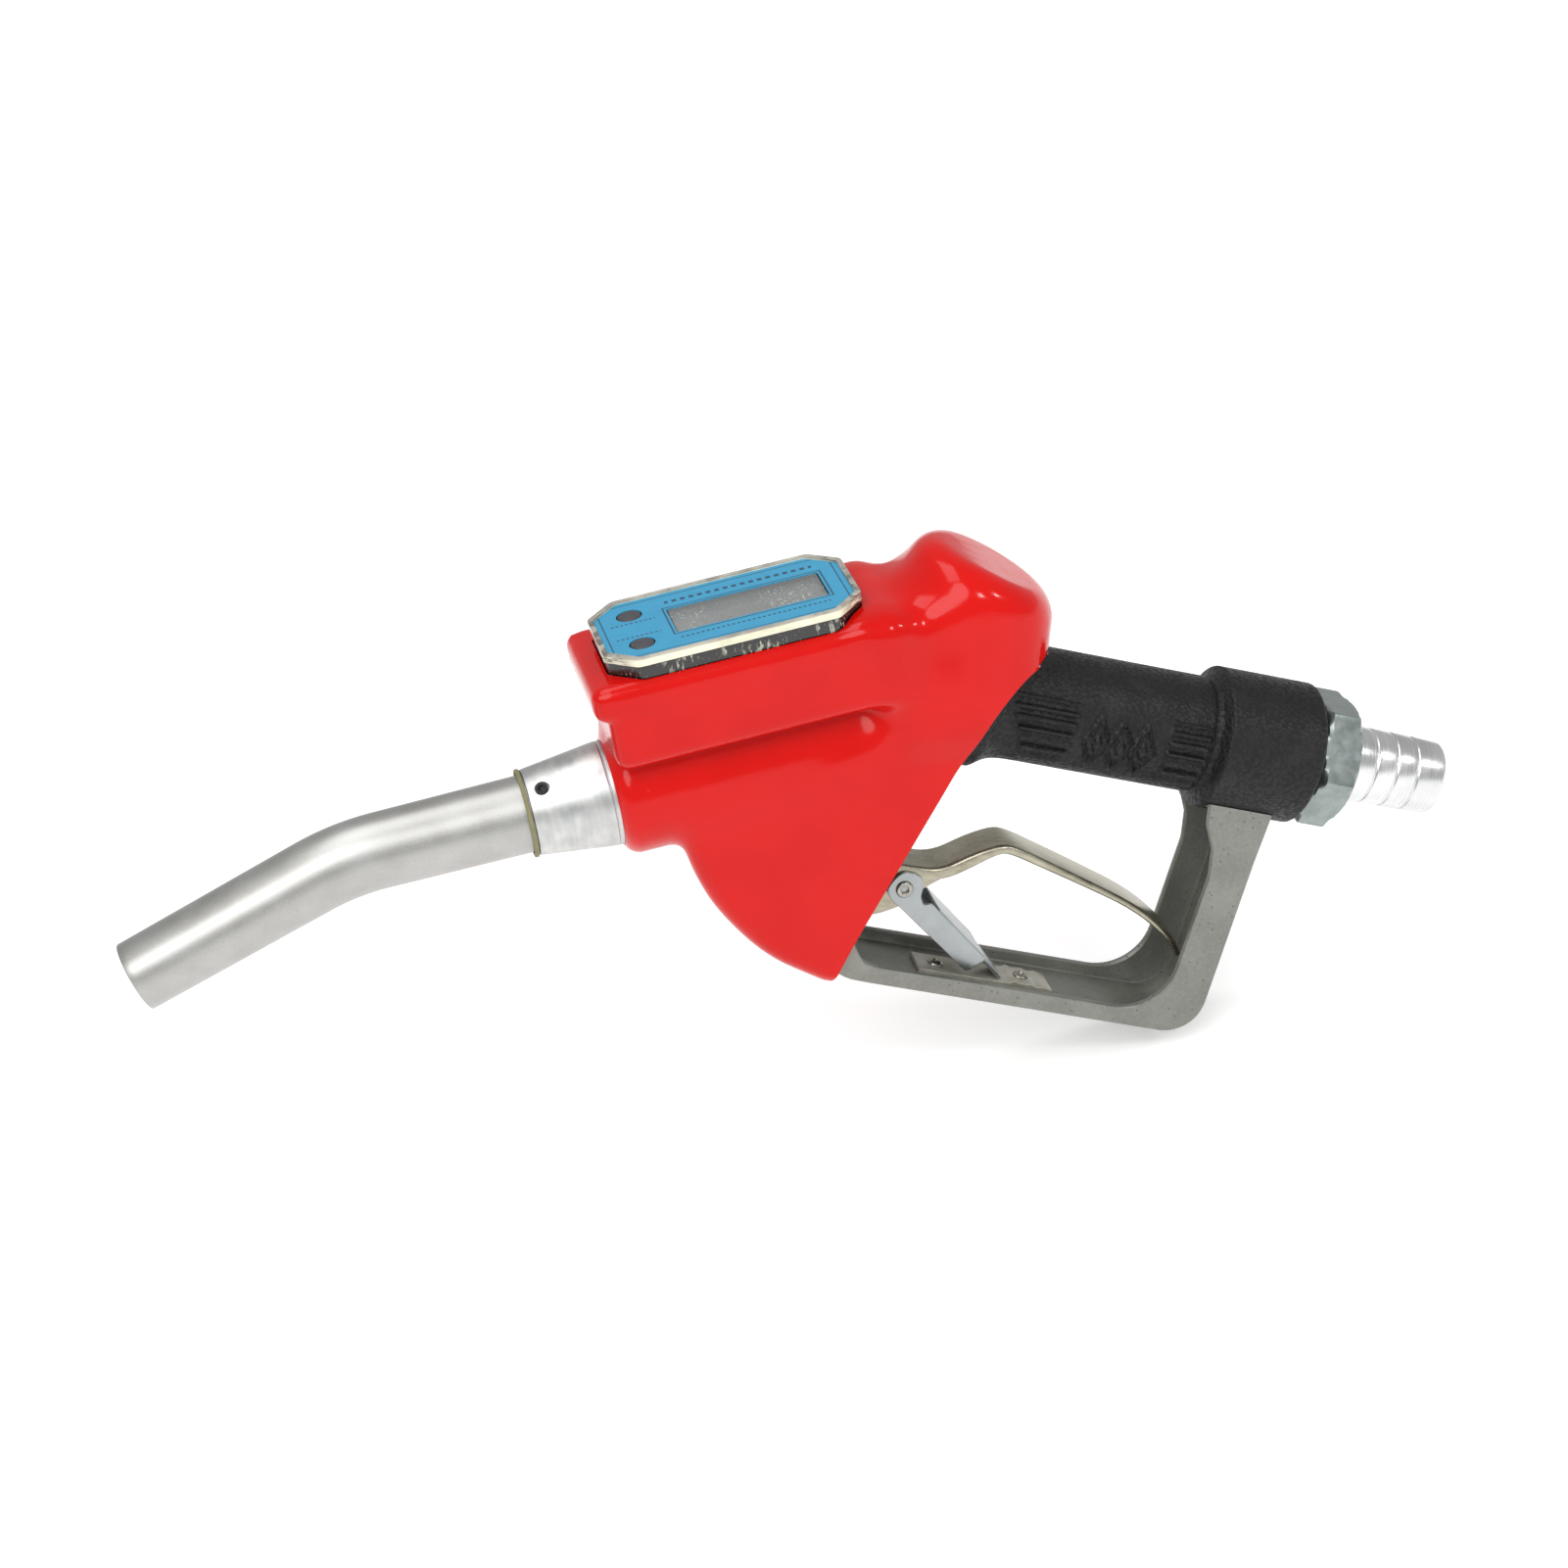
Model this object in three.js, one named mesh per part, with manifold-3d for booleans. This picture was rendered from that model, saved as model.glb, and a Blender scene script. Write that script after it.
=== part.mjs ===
// Automatic fuel nozzle with an in-line digital turbine meter, in millimetres, +Z up.
// The spout and meter lie on the flow axis, along X. The handle axis starts on it and slopes down
// towards +X: x then runs along the handle, z across it. The origin is the middle of the hand grip.
import * as THREE from 'three';
import { mergeVertices } from 'three/addons/utils/BufferGeometryUtils.js';
import Module from 'manifold-3d';

const wasm = await Module();
wasm.setup();

// ---- driving dimensions ------------------------------------------------------------------
const GAP = 0.35; // between pieces that touch
const HANDLE_START_X = 82.6; // where the handle axis meets the flow axis
const HANDLE_SLOPE = THREE.MathUtils.degToRad(26);
const GRIP_CENTRE = 50; // along the handle axis

const SPOUT = { root: -58, bendAt: -126, bendAngle: 17, bendRadius: 80, tipLength: 66.7 };
const SPOUT_RADIUS = { root: 13.1, tip: 12.1, wall: 1.6 };
const COLLAR = { front: -75.7, shoulder: -50, back: -34, frontRadius: 14.5, backRadius: 17.7 };
const SET_SCREW = { x: -70.8, tilt: 37, radius: 2.1, hole: 2.5 };

const FLOW_RADIUS = 18.5; // outside of the meter's flow tube
const FLOW_BORE = 13.5;
const METER = { length: 86.3, width: 48.7, chamfer: 9.75, top: 55.65, rim: 2.9 };
const CASE = { inset: 0.8, floor: 35.6, top: 52.4, wall: 2 };
const LCD = { x: 8.1, length: 51, width: 19 };
const BUTTON = { x: -29.5, y: 11.5, radius: 4 };

const VALVE = { s: -24, radius: 17.5, top: 27.5, seat: 10, floor: -33.5 }; // chamber across the handle
const PLUNGER = { s: -52, radius: 5.6, eye: -84 }; // shut-off plunger, whose eye carries the lever
const CHEEK = { inner: 10.2, outer: 13 };
const FOOT_SCREW = { s: -33, v: -93 };

const SLEEVE = { radius: 19.8, cup: 24.15, step: 77, end: 113, tube: 17, boss: 21 };
const HEX = { from: 114.5, to: 127.5, flats: 41 };
const TAIL = { end: 164, radius: 13.1, bore: 9.5 };

const GUARD = { half: 17, wall: 2.8, bottom: -103.3, floor: -101, rim: -96.8, post: 89.5, back: 104 };
const LEVER = { half: 8.25, sheet: 2.2, earInner: 6.05 };
const LATCH = { s: -12.2, v: -69.9, inner: 8.65, outer: 9.85 };

const COVER = { wall: 3, block: 27, tube: 21.8, side: 24, foot: 21 };
const HUMP = { s: -15, radius: 24.5, top: 44 };

const ROUND = 24; // sides of a large turned piece
const SMALL = 12; // sides of a small one

// ---- finishes ----------------------------------------------------------------------------
const finish = (color, roughness, metalness) => (
  new THREE.MeshStandardMaterial({ color, roughness, metalness })
);
const FINISH = {
  spout: finish('#b4b4b2', 0.38, 0.85),
  casting: finish('#8f918f', 0.5, 0.75),
  zinc: finish('#98a0a3', 0.35, 0.85),
  steel: finish('#b9bbbb', 0.25, 0.95),
  nickel: finish('#a39c86', 0.3, 0.9),
  vinyl: finish('#e0261c', 0.22, 0),
  grip: finish('#262729', 0.6, 0),
  rubber: finish('#1b1b1c', 0.8, 0),
  khaki: finish('#7c7a58', 0.7, 0),
  plastic: finish('#17181a', 0.3, 0),
  bezel: finish('#cfcdb8', 0.2, 0),
  label: finish('#3f9fcd', 0.4, 0),
  glass: finish('#8f9290', 0.1, 0),
  board: finish('#2c6b3c', 0.5, 0),
  nylon: finish('#dedccf', 0.45, 0),
  brass: finish('#b08d4a', 0.35, 0.9),
};

// ---- making solids -----------------------------------------------------------------------
const AXIS_X = new THREE.Matrix4().makeRotationZ(-Math.PI / 2); // a lathe's +Y becomes +X
const AXIS_Y = new THREE.Matrix4();
const AXIS_Z = new THREE.Matrix4().makeRotationX(Math.PI / 2);
const SIDE_VIEW = new THREE.Matrix4().makeRotationX(Math.PI / 2); // outline in X and Z, depth to -Y
const FRONT_VIEW = new THREE.Matrix4().makeBasis(
  new THREE.Vector3(0, 1, 0), new THREE.Vector3(0, 0, 1), new THREE.Vector3(1, 0, 0),
); // outline in Y and Z, depth to +X
const FLOW_IN_HANDLE = new THREE.Matrix4().makeRotationY(-HANDLE_SLOPE)
  .multiply(new THREE.Matrix4().makeTranslation(-HANDLE_START_X, 0, 0));
const HANDLE_IN_FLOW = FLOW_IN_HANDLE.clone().invert();
const moved = (x, y, z) => new THREE.Matrix4().makeTranslation(x, y, z);

function signedVolume(position, corners) {
  const [a, b, c] = [new THREE.Vector3(), new THREE.Vector3(), new THREE.Vector3()];
  let volume = 0;
  for (let i = 0; i < corners.length; i += 3) {
    a.fromArray(position, 3 * corners[i]);
    b.fromArray(position, 3 * corners[i + 1]);
    c.fromArray(position, 3 * corners[i + 2]);
    volume += a.dot(b.cross(c)) / 6;
  }
  return volume;
}

// A closed geometry as a solid whose faces point out, without triangles of no area.
function toSolid(geometry, ...places) {
  geometry.deleteAttribute('normal');
  geometry.deleteAttribute('uv');
  for (const place of places) geometry.applyMatrix4(place);
  const merged = mergeVertices(geometry, 1e-3);
  const position = merged.attributes.position.array;
  const corners = [];
  for (let i = 0; i < merged.index.count; i += 3) {
    const [a, b, c] = merged.index.array.slice(i, i + 3);
    if (a !== b && b !== c && c !== a) corners.push(a, b, c);
  }
  if (signedVolume(position, corners) < 0) corners.reverse();
  const triVerts = new Uint32Array(corners);
  const vertProperties = new Float32Array(position);
  return new wasm.Manifold(new wasm.Mesh({ numProp: 3, vertProperties, triVerts }));
}

const join = (first, ...rest) => rest.reduce((whole, next) => whole.add(next), first);
const cut = (first, ...rest) => rest.reduce((whole, next) => whole.subtract(next), first);

// Turned piece: a profile of [along, radius] points about an axis. It ends on the axis or closes.
function turned(profile, axis = AXIS_X, sides = ROUND, ...places) {
  const points = profile.map(([along, radius]) => new THREE.Vector2(radius, along));
  if (profile[0][1] > 0) points.push(points[0].clone());
  return toSolid(new THREE.LatheGeometry(points, sides), axis, ...places);
}
const rod = (radius, from, to, axis, sides, ...places) => (
  turned([[from, 0], [from, radius], [to, radius], [to, 0]], axis, sides, ...places)
);
const tube = (outer, inner, from, to, axis, sides, ...places) => (
  turned([[from, inner], [from, outer], [to, outer], [to, inner]], axis, sides, ...places)
);

// An outline of [x, y, corner radius] points. A radius takes up less than half of a short side.
function outline(points) {
  const shape = new THREE.Shape();
  points.forEach(([x, y, radius = 0], i) => {
    const corner = new THREE.Vector2(x, y);
    const towards = ([px, py]) => {
      const side = new THREE.Vector2(px, py).sub(corner);
      return corner.clone().addScaledVector(side, Math.min(radius / side.length(), 0.45));
    };
    const before = towards(points.at(i - 1));
    const after = towards(points[(i + 1) % points.length]);
    if (i === 0) shape.moveTo(before.x, before.y);
    else shape.lineTo(before.x, before.y);
    if (radius > 0) shape.quadraticCurveTo(x, y, after.x, after.y);
  });
  shape.closePath();
  return shape;
}

// The same outline, drawn anticlockwise, with every side moved inwards.
function inset(points, distance) {
  return points.map(([x, y, radius = 0], i) => {
    const [ax, ay] = points.at(i - 1);
    const [bx, by] = points[(i + 1) % points.length];
    const before = new THREE.Vector2(ay - y, x - ax).normalize();
    const after = new THREE.Vector2(y - by, bx - x).normalize();
    const move = before.clone().add(after).multiplyScalar(distance / (1 + before.dot(after)));
    return [x + move.x, y + move.y, Math.max(radius - distance, 0.5)];
  });
}

// A bent sheet seen from its edge: a line drawn towards +X, with its thickness below it.
function ribbon(line, sheet) {
  const under = line.map(([x, y], i) => {
    const [ax, ay] = line[Math.max(i - 1, 0)];
    const [bx, by] = line[Math.min(i + 1, line.length - 1)];
    const along = new THREE.Vector2(bx - ax, by - ay).setLength(sheet);
    return [x + along.y, y - along.x];
  });
  return [...line, ...under.reverse()];
}

const CURVE = 3; // straight pieces to a rounded corner
function extruded(shape, depth, ...places) {
  const options = { depth, bevelEnabled: false, curveSegments: CURVE };
  return toSolid(new THREE.ExtrudeGeometry(shape, options), ...places);
}
const plate = (points, from, to) => extruded(outline(points), to - from, moved(0, 0, from));
const slab = (points, half, ...places) => (
  extruded(outline(points), 2 * half, SIDE_VIEW, moved(0, half, 0), ...places)
);
const bar = (points, from, to, ...places) => (
  extruded(outline(points), to - from, FRONT_VIEW, moved(from, 0, 0), ...places)
);
const box = (x, y, z, ...places) => toSolid(new THREE.BoxGeometry(x, y, z), ...places);

// A coil spring about Z.
class Helix extends THREE.Curve {
  constructor(radius, from, to, turns) {
    super();
    Object.assign(this, { radius, from, to, turns });
  }

  getPoint(t, target = new THREE.Vector3()) {
    const angle = 2 * Math.PI * this.turns * t;
    const height = this.from + (this.to - this.from) * t;
    return target.set(this.radius * Math.cos(angle), this.radius * Math.sin(angle), height);
  }
}
function coilSpring(radius, wire, from, to, turns, ...places) {
  const section = new THREE.Shape().absarc(0, 0, wire / 2, 0, 2 * Math.PI);
  const extrudePath = new Helix(radius, from + wire / 2, to - wire / 2, turns);
  const options = { extrudePath, steps: Math.round(turns * 10), bevelEnabled: false, curveSegments: 3 };
  return toSolid(new THREE.ExtrudeGeometry(section, options), ...places);
}

// ---- the scene graph ---------------------------------------------------------------------
const nozzle = new THREE.Group();
nozzle.position.set(
  -(HANDLE_START_X + GRIP_CENTRE * Math.cos(HANDLE_SLOPE)), 0, GRIP_CENTRE * Math.sin(HANDLE_SLOPE),
);
const flowLine = new THREE.Group();
const handle = new THREE.Group();
handle.position.x = HANDLE_START_X;
handle.rotation.y = HANDLE_SLOPE;
nozzle.add(flowLine, handle);

function piece(line, name, solid, material) {
  const { vertProperties, triVerts } = solid.getMesh();
  const geometry = new THREE.BufferGeometry();
  geometry.setAttribute('position', new THREE.BufferAttribute(vertProperties, 3));
  geometry.setIndex(new THREE.BufferAttribute(triVerts, 1));
  geometry.computeVertexNormals();
  const mesh = new THREE.Mesh(geometry, material);
  mesh.name = name;
  line.add(mesh);
}

// ---- spout -------------------------------------------------------------------------------
// Bends a straight solid that lies on the flow axis along the spout's own centre line.
function alongSpout(geometry) {
  const position = geometry.attributes.position;
  const angle = THREE.MathUtils.degToRad(SPOUT.bendAngle);
  const arc = SPOUT.bendRadius * angle;
  for (let i = 0; i < position.count; i += 1) {
    const past = SPOUT.bendAt - position.getX(i);
    const turn = THREE.MathUtils.clamp(past / arc, 0, 1) * angle;
    const straight = Math.max(past - arc, 0);
    const radius = SPOUT.bendRadius + position.getZ(i);
    if (past > 0) {
      position.setX(i, SPOUT.bendAt - radius * Math.sin(turn) - straight * Math.cos(turn));
      position.setZ(i, radius * Math.cos(turn) - SPOUT.bendRadius - straight * Math.sin(turn));
    }
  }
  return geometry;
}

// A straight tube of rings dense enough to bend, from one place on the flow axis to another.
function bentTube(outer, inner, from, to, sides, ...places) {
  const arc = SPOUT.bendRadius * THREE.MathUtils.degToRad(SPOUT.bendAngle);
  const bends = [0, 1, 2, 3, 4, 5].map((i) => SPOUT.bendAt - (arc * i) / 5);
  const stations = [from, ...bends, to];
  const outside = stations.map((x) => new THREE.Vector2(outer(x), x));
  const inside = stations.map((x) => new THREE.Vector2(inner(x), x)).reverse();
  const geometry = new THREE.LatheGeometry([...outside, ...inside, outside[0].clone()], sides);
  geometry.deleteAttribute('normal');
  geometry.deleteAttribute('uv');
  [AXIS_X, ...places].forEach((place) => geometry.applyMatrix4(place));
  return toSolid(alongSpout(geometry));
}

function makeSpout() {
  const arc = SPOUT.bendRadius * THREE.MathUtils.degToRad(SPOUT.bendAngle);
  const tip = SPOUT.bendAt - arc - SPOUT.tipLength;
  const radius = (x) => (
    THREE.MathUtils.mapLinear(x, SPOUT.root, tip, SPOUT_RADIUS.root, SPOUT_RADIUS.tip)
  );
  const bore = (x) => radius(x) - SPOUT_RADIUS.wall;
  piece(flowLine, 'spout_tube', bentTube(radius, bore, SPOUT.root, tip, ROUND), FINISH.spout);

  const ventBelow = 7.4;
  const vent = bentTube(() => 2.5, () => 1.6, -62, tip + 22, 12, moved(0, 0, -ventBelow));
  piece(flowLine, 'vent_tube', vent, FINISH.steel);

  const front = COLLAR.front - GAP;
  const lip = tube(15, SPOUT_RADIUS.root + GAP, front - 1.5, front, AXIS_X, ROUND);
  piece(flowLine, 'spout_seal_ring', lip, FINISH.khaki);
}

function makeCollar() {
  const socket = SPOUT_RADIUS.root + 0.4;
  const body = turned([
    [COLLAR.front, socket], [COLLAR.front, COLLAR.frontRadius], [COLLAR.shoulder, COLLAR.backRadius],
    [-44.2, COLLAR.backRadius], [-44.2, 15.4], [COLLAR.back, 15.4], [COLLAR.back, 9], [-37, 9],
    [-37, 14.4], [-56, 14.4], [-57.6, socket], [-63, socket], [-63, 15], [-66, 15], [-66, socket],
  ]);
  const tilt = new THREE.Matrix4().makeRotationX(THREE.MathUtils.degToRad(SET_SCREW.tilt));
  const screwPlace = [tilt, moved(SET_SCREW.x, 0, 0)];
  const hole = rod(SET_SCREW.hole, 10, 20, AXIS_Z, SMALL, ...screwPlace);
  piece(flowLine, 'spout_collar', cut(body, hole), FINISH.casting);

  const socketHead = rod(1, 14.2, 16, AXIS_Z, 6, ...screwPlace);
  const screw = rod(SET_SCREW.radius, 13.5, 14.8, AXIS_Z, SMALL, ...screwPlace);
  piece(flowLine, 'spout_set_screw', cut(screw, socketHead), FINISH.plastic);

  const ring = turned([[-65.6, 14], [-65, 13.5], [-64, 13.5], [-63.4, 14], [-64, 14.7], [-65, 14.7]]);
  piece(flowLine, 'spout_o_ring', ring, FINISH.rubber);
}

function makeCheckValve() {
  const poppet = turned([
    [-37.4, 0], [-37.4, 9], [-38, 12.6], [-39.4, 12.6], [-39.4, 10.4], [-42, 10.4], [-42, 3],
    [-39.4, 2], [-39.4, 0],
  ]);
  piece(flowLine, 'check_poppet', poppet, FINISH.brass);
  const along = new THREE.Matrix4().makeRotationY(Math.PI / 2);
  const spring = coilSpring(11.8, 1.2, -57.6, -39.9, 5, along);
  piece(flowLine, 'check_spring', spring, FINISH.steel);
}

// ---- meter -------------------------------------------------------------------------------
// The meter's eight-sided outline, smaller all round by the given amount.
function meterOutline(smaller) {
  const [x, y] = [METER.length / 2 - smaller, METER.width / 2 - smaller];
  const c = METER.chamfer - smaller * 0.4;
  return [
    [-x, y - c], [-x, c - y], [c - x, -y], [x - c, -y], [x, c - y], [x, y - c], [x - c, y], [c - x, y],
  ];
}
const rectangle = (x, y, halfX, halfY, radius = 1) => [
  [x - halfX, y - halfY, radius], [x + halfX, y - halfY, radius],
  [x + halfX, y + halfY, radius], [x - halfX, y + halfY, radius],
];

function makeMeterHousing() {
  const pipe = turned([
    [-44, 15.8], [-44, FLOW_RADIUS], [38, FLOW_RADIUS], [38, 16.5], [42, 16.5], [42, FLOW_BORE],
    [-33.6, FLOW_BORE], [-33.6, 15.8],
  ]);
  const saddle = join(
    plate(rectangle(0, 0, 43, 22, 3), 21.2, 34),
    plate(rectangle(-3, 0, 37, 8.5), 10, 22),
  );
  const bore = rod(16, -60, 60, AXIS_X, ROUND);
  const sensorPocket = plate(rectangle(0, 0, 30, 14, 2), 22, 40);
  piece(flowLine, 'meter_housing', cut(pipe.add(saddle.subtract(bore)), sensorPocket), FINISH.casting);
  const gasket = plate(rectangle(0, 0, 40.5, 20.5, 2), 34.35, 35.25);
  const middle = plate(rectangle(0, 0, 36, 16, 2), 33, 37);
  piece(flowLine, 'case_gasket', gasket.subtract(middle), FINISH.rubber);
}

function makeStraightener(name, x) {
  const half = 6;
  const vanes = [0, Math.PI / 2].map((angle) => (
    box(2 * half, 1.2, 25.4, new THREE.Matrix4().makeRotationX(angle), moved(x, 0, 0))
  ));
  const ring = tube(13.15, 12.2, x - half, x + half, AXIS_X, ROUND);
  const hub = rod(4, x - half, x + half, AXIS_X, SMALL);
  const bearing = rod(1.4, x - half - 1, x + half + 1, AXIS_X, 12);
  piece(flowLine, name, cut(join(ring, hub, ...vanes), bearing), FINISH.nylon);
}

function makeTurbine() {
  const blades = [];
  const [bladeLength, bladeCount, twist] = [14, 6, 0.045];
  for (let i = 0; i < bladeCount; i += 1) {
    const blade = new THREE.BoxGeometry(bladeLength, 1.1, 9.2, 4, 1, 1).translate(0, 0, 8);
    const position = blade.attributes.position;
    for (let k = 0; k < position.count; k += 1) {
      const angle = twist * position.getX(k) + (2 * Math.PI * i) / bladeCount;
      const corner = new THREE.Vector3().fromBufferAttribute(position, k);
      corner.applyAxisAngle(new THREE.Vector3(1, 0, 0), angle);
      position.setXYZ(k, ...corner);
    }
    blades.push(toSolid(blade));
  }
  const hub = turned([[-8.5, 1.4], [-8.5, 3], [-7, 4.2], [7, 4.2], [8.5, 3], [8.5, 1.4]], AXIS_X, SMALL);
  const bore = rod(1.4, -20, 20, AXIS_X, SMALL);
  piece(flowLine, 'turbine_rotor', cut(join(hub, ...blades), bore), FINISH.nylon);
  piece(flowLine, 'turbine_shaft', rod(1.05, -23, 23, AXIS_X, 12), FINISH.steel);
}

function makeMeterModule() {
  const shell = plate(meterOutline(CASE.inset), CASE.floor, CASE.top);
  const hollow = plate(meterOutline(CASE.inset + CASE.wall), CASE.floor + 2.4, CASE.top + 1);
  piece(flowLine, 'meter_case', cut(shell, hollow), FINISH.plastic);

  piece(flowLine, 'circuit_board', plate(meterOutline(4), 44.6, 46.2), FINISH.board);
  [-24, 12].forEach((x, i) => {
    const cell = rod(12.25, 38.9, 43.9, AXIS_Z, 24, moved(x, 0, 0));
    piece(flowLine, `coin_cell_${i + 1}`, cell, FINISH.steel);
  });
  const lcd = plate(rectangle(LCD.x, 0, LCD.length / 2 + 1.5, LCD.width / 2 + 1.5), 49, 51.8);
  piece(flowLine, 'lcd_panel', lcd, FINISH.glass);
}

function makeMeterFace() {
  const rimBottom = METER.top - METER.rim;
  const recess = METER.top - 0.75;
  const window = rectangle(LCD.x, 0, LCD.length / 2, LCD.width / 2, 0.6);
  const buttonHoles = (radius) => [-1, 1].map((side) => (
    rod(radius, 45, 60, AXIS_Z, SMALL, moved(BUTTON.x, side * BUTTON.y, 0))
  ));
  const frame = cut(
    plate(meterOutline(0), rimBottom, METER.top), plate(meterOutline(2.2), recess, METER.top + 1),
    plate(window, 45, 60), ...buttonHoles(BUTTON.radius + 0.5),
  );
  piece(flowLine, 'meter_bezel', frame, FINISH.bezel);
  const label = cut(
    plate(meterOutline(2.6), recess + 0.3, recess + 0.6), plate(inset(window, -0.3), 45, 60),
    ...buttonHoles(BUTTON.radius + 0.5),
  );
  piece(flowLine, 'face_label', label, FINISH.label);
  piece(flowLine, 'lcd_window', plate(inset(window, GAP), rimBottom + 0.3, recess + 0.4), FINISH.glass);
  ['mode', 'reset'].forEach((use, i) => {
    const place = moved(BUTTON.x, BUTTON.y - 2 * BUTTON.y * i, 0);
    const key = turned([
      [49, 0], [49, BUTTON.radius], [54.9, BUTTON.radius], [55.35, BUTTON.radius - 0.6], [55.2, 0],
    ], AXIS_Z, SMALL, place);
    piece(flowLine, `button_${use}`, key, FINISH.rubber);
  });
}

// ---- valve body, inside the cover and the grip --------------------------------------------
const atFootScrew = moved(FOOT_SCREW.s, 0, FOOT_SCREW.v);

function makeValveBody() {
  const onValve = moved(VALVE.s, 0, 0);
  const onPlunger = moved(PLUNGER.s, 0, 0);
  const cheeks = slab([
    [-34, -16], [-14, -16], [-21.5, -50], [-27.5, -80], [-30, -98], [-38, -97], [-60, -81],
    [-63, -66], [-56, -56], [-44, -42],
  ], CHEEK.outer);
  const between = slab([[-70, -120], [10, -120], [10, -31], [-34, -31], [-70, -50]], CHEEK.inner);
  const solid = join(
    turned([[-10, 0], [-10, SLEEVE.tube], [79, SLEEVE.tube], [79, SLEEVE.boss], [111.5, SLEEVE.boss],
      [111.5, 0]]),
    turned([[VALVE.floor, 0], [VALVE.floor, 8.5], [-19, 8.5], [-17, 12], [-14.5, 15],
      [-11, VALVE.radius], [VALVE.top, VALVE.radius], [VALVE.top, 0]], AXIS_Z, ROUND, onValve),
    rod(17.8, 38.5, 66, AXIS_X, ROUND, FLOW_IN_HANDLE),
    cheeks.subtract(between),
    turned([[-78, 0], [-78, 8], [-70.3, 8], [-70.3, 13], [-58.3, 13], [-58.3, 0]], AXIS_Z, ROUND,
      onPlunger),
  );
  const cavities = [
    rod(13.5, VALVE.seat, 50, AXIS_Z, ROUND, onValve),
    rod(9.5, 0, 20, AXIS_Z, ROUND, onValve),
    rod(13, -12, 5, AXIS_Z, ROUND, onValve),
    turned([[-40, 0], [-40, 5.3], [-29, 5.3], [-29, 3.4], [-10, 3.4], [-10, 0]], AXIS_Z, SMALL,
      onValve),
    rod(FLOW_RADIUS + 0.5, -60, 38.5, AXIS_X, ROUND, FLOW_IN_HANDLE),
    turned([[34, 0], [34, 16.9], [42.4, 16.9], [42.4, 12], [66, 12], [66, 0]], AXIS_X, ROUND,
      FLOW_IN_HANDLE),
    rod(12.5, 14, 120, AXIS_X, ROUND),
    rod(16.6, 95.5, 120, AXIS_X, ROUND),
    rod(7.6, -45, VALVE.floor, AXIS_Z, SMALL, onValve),
    rod(8, VALVE.s, 20, AXIS_X, ROUND, moved(0, 0, -4)),
    rod(11.2, -64.3, -50, AXIS_Z, ROUND, onPlunger),
    rod(13.5, -58.3, -40, AXIS_Z, ROUND, onPlunger),
    rod(2.1, -76, -50, AXIS_Z, SMALL, onPlunger),
    rod(PLUNGER.radius + 0.4, -90, -70.8, AXIS_Z, SMALL, onPlunger),
    ...[-1, 1].map((side) => rod(2.2, side * 5, side * 20, AXIS_Y, SMALL, atFootScrew)),
  ];
  piece(handle, 'valve_body', cut(solid, ...cavities), FINISH.casting);
}

function makeMainValve() {
  const onValve = moved(VALVE.s, 0, 0);
  const poppet = turned([
    [-61.6, 0], [-61.6, 3], [12.6, 3], [12.6, 12.4], [14.4, 12.4], [15, 6], [17, 6], [17, 0],
  ], AXIS_Z, 24, onValve);
  piece(handle, 'main_poppet', poppet, FINISH.brass);
  const seal = tube(12.4, 3 + GAP, VALVE.seat + GAP, 12.25, AXIS_Z, 24, onValve);
  piece(handle, 'poppet_seal', seal, FINISH.rubber);
  piece(handle, 'main_spring', coilSpring(9, 1.6, 15, 25, 2.5, onValve), FINISH.steel);
  const cap = turned([
    [30.6, 0], [30.6, 15], [29.6, 16.6], [VALVE.top + GAP, 16.6], [VALVE.top + GAP, 13.1],
    [27.3, 13.1], [27.3, 11.8], [25.7, 11.8], [25.7, 13.1], [25.4, 13.1], [25.4, 6.8], [28, 6], [28, 0],
  ], AXIS_Z, ROUND, onValve);
  piece(handle, 'poppet_cap', cap, FINISH.brass);
  const capSeal = tube(13.3, 12.15, 26, 27, AXIS_Z, ROUND, onValve);
  piece(handle, 'cap_seal', capSeal, FINISH.rubber);
  const packing = tube(5, 3 + GAP, -33.1, -29.4, AXIS_Z, SMALL, onValve);
  piece(handle, 'stem_packing', packing, FINISH.rubber);
  const hexagon = rod(6.9, -38.1, VALVE.floor - GAP, AXIS_Z, 6, onValve);
  const nut = hexagon.subtract(rod(3 + GAP, -42, 0, AXIS_Z, SMALL, onValve));
  piece(handle, 'packing_nut', nut, FINISH.brass);
}

function makeShutOff() {
  const onPlunger = moved(PLUNGER.s, 0, 0);
  const eye = rod(2.85, -10, 10, AXIS_Y, SMALL, moved(PLUNGER.s, 0, PLUNGER.eye));
  const plunger = rod(PLUNGER.radius, -89, -71.2, AXIS_Z, SMALL, onPlunger);
  piece(handle, 'shutoff_plunger', cut(plunger, eye), FINISH.steel);
  const diaphragm = turned([
    [-69.6, 0], [-69.6, 1.7], [-63.9, 1.7], [-63.9, 10.8], [-62.9, 10.8], [-62.5, 7], [-61.9, 4],
    [-61.9, 0],
  ], AXIS_Z, 24, onPlunger);
  piece(handle, 'shutoff_diaphragm', diaphragm, FINISH.rubber);
  const spring = coilSpring(5.8, 1, -62.1, -58.2, 2.5, onPlunger);
  piece(handle, 'diaphragm_spring', spring, FINISH.steel);
  piece(handle, 'diaphragm_cap', rod(13, -57.9, -55.8, AXIS_Z, ROUND, onPlunger), FINISH.casting);
  const pin = rod(2.5, -8.6, 8.6, AXIS_Y, SMALL, moved(PLUNGER.s, 0, PLUNGER.eye));
  piece(handle, 'lever_pivot_pin', pin, FINISH.steel);
}

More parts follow.
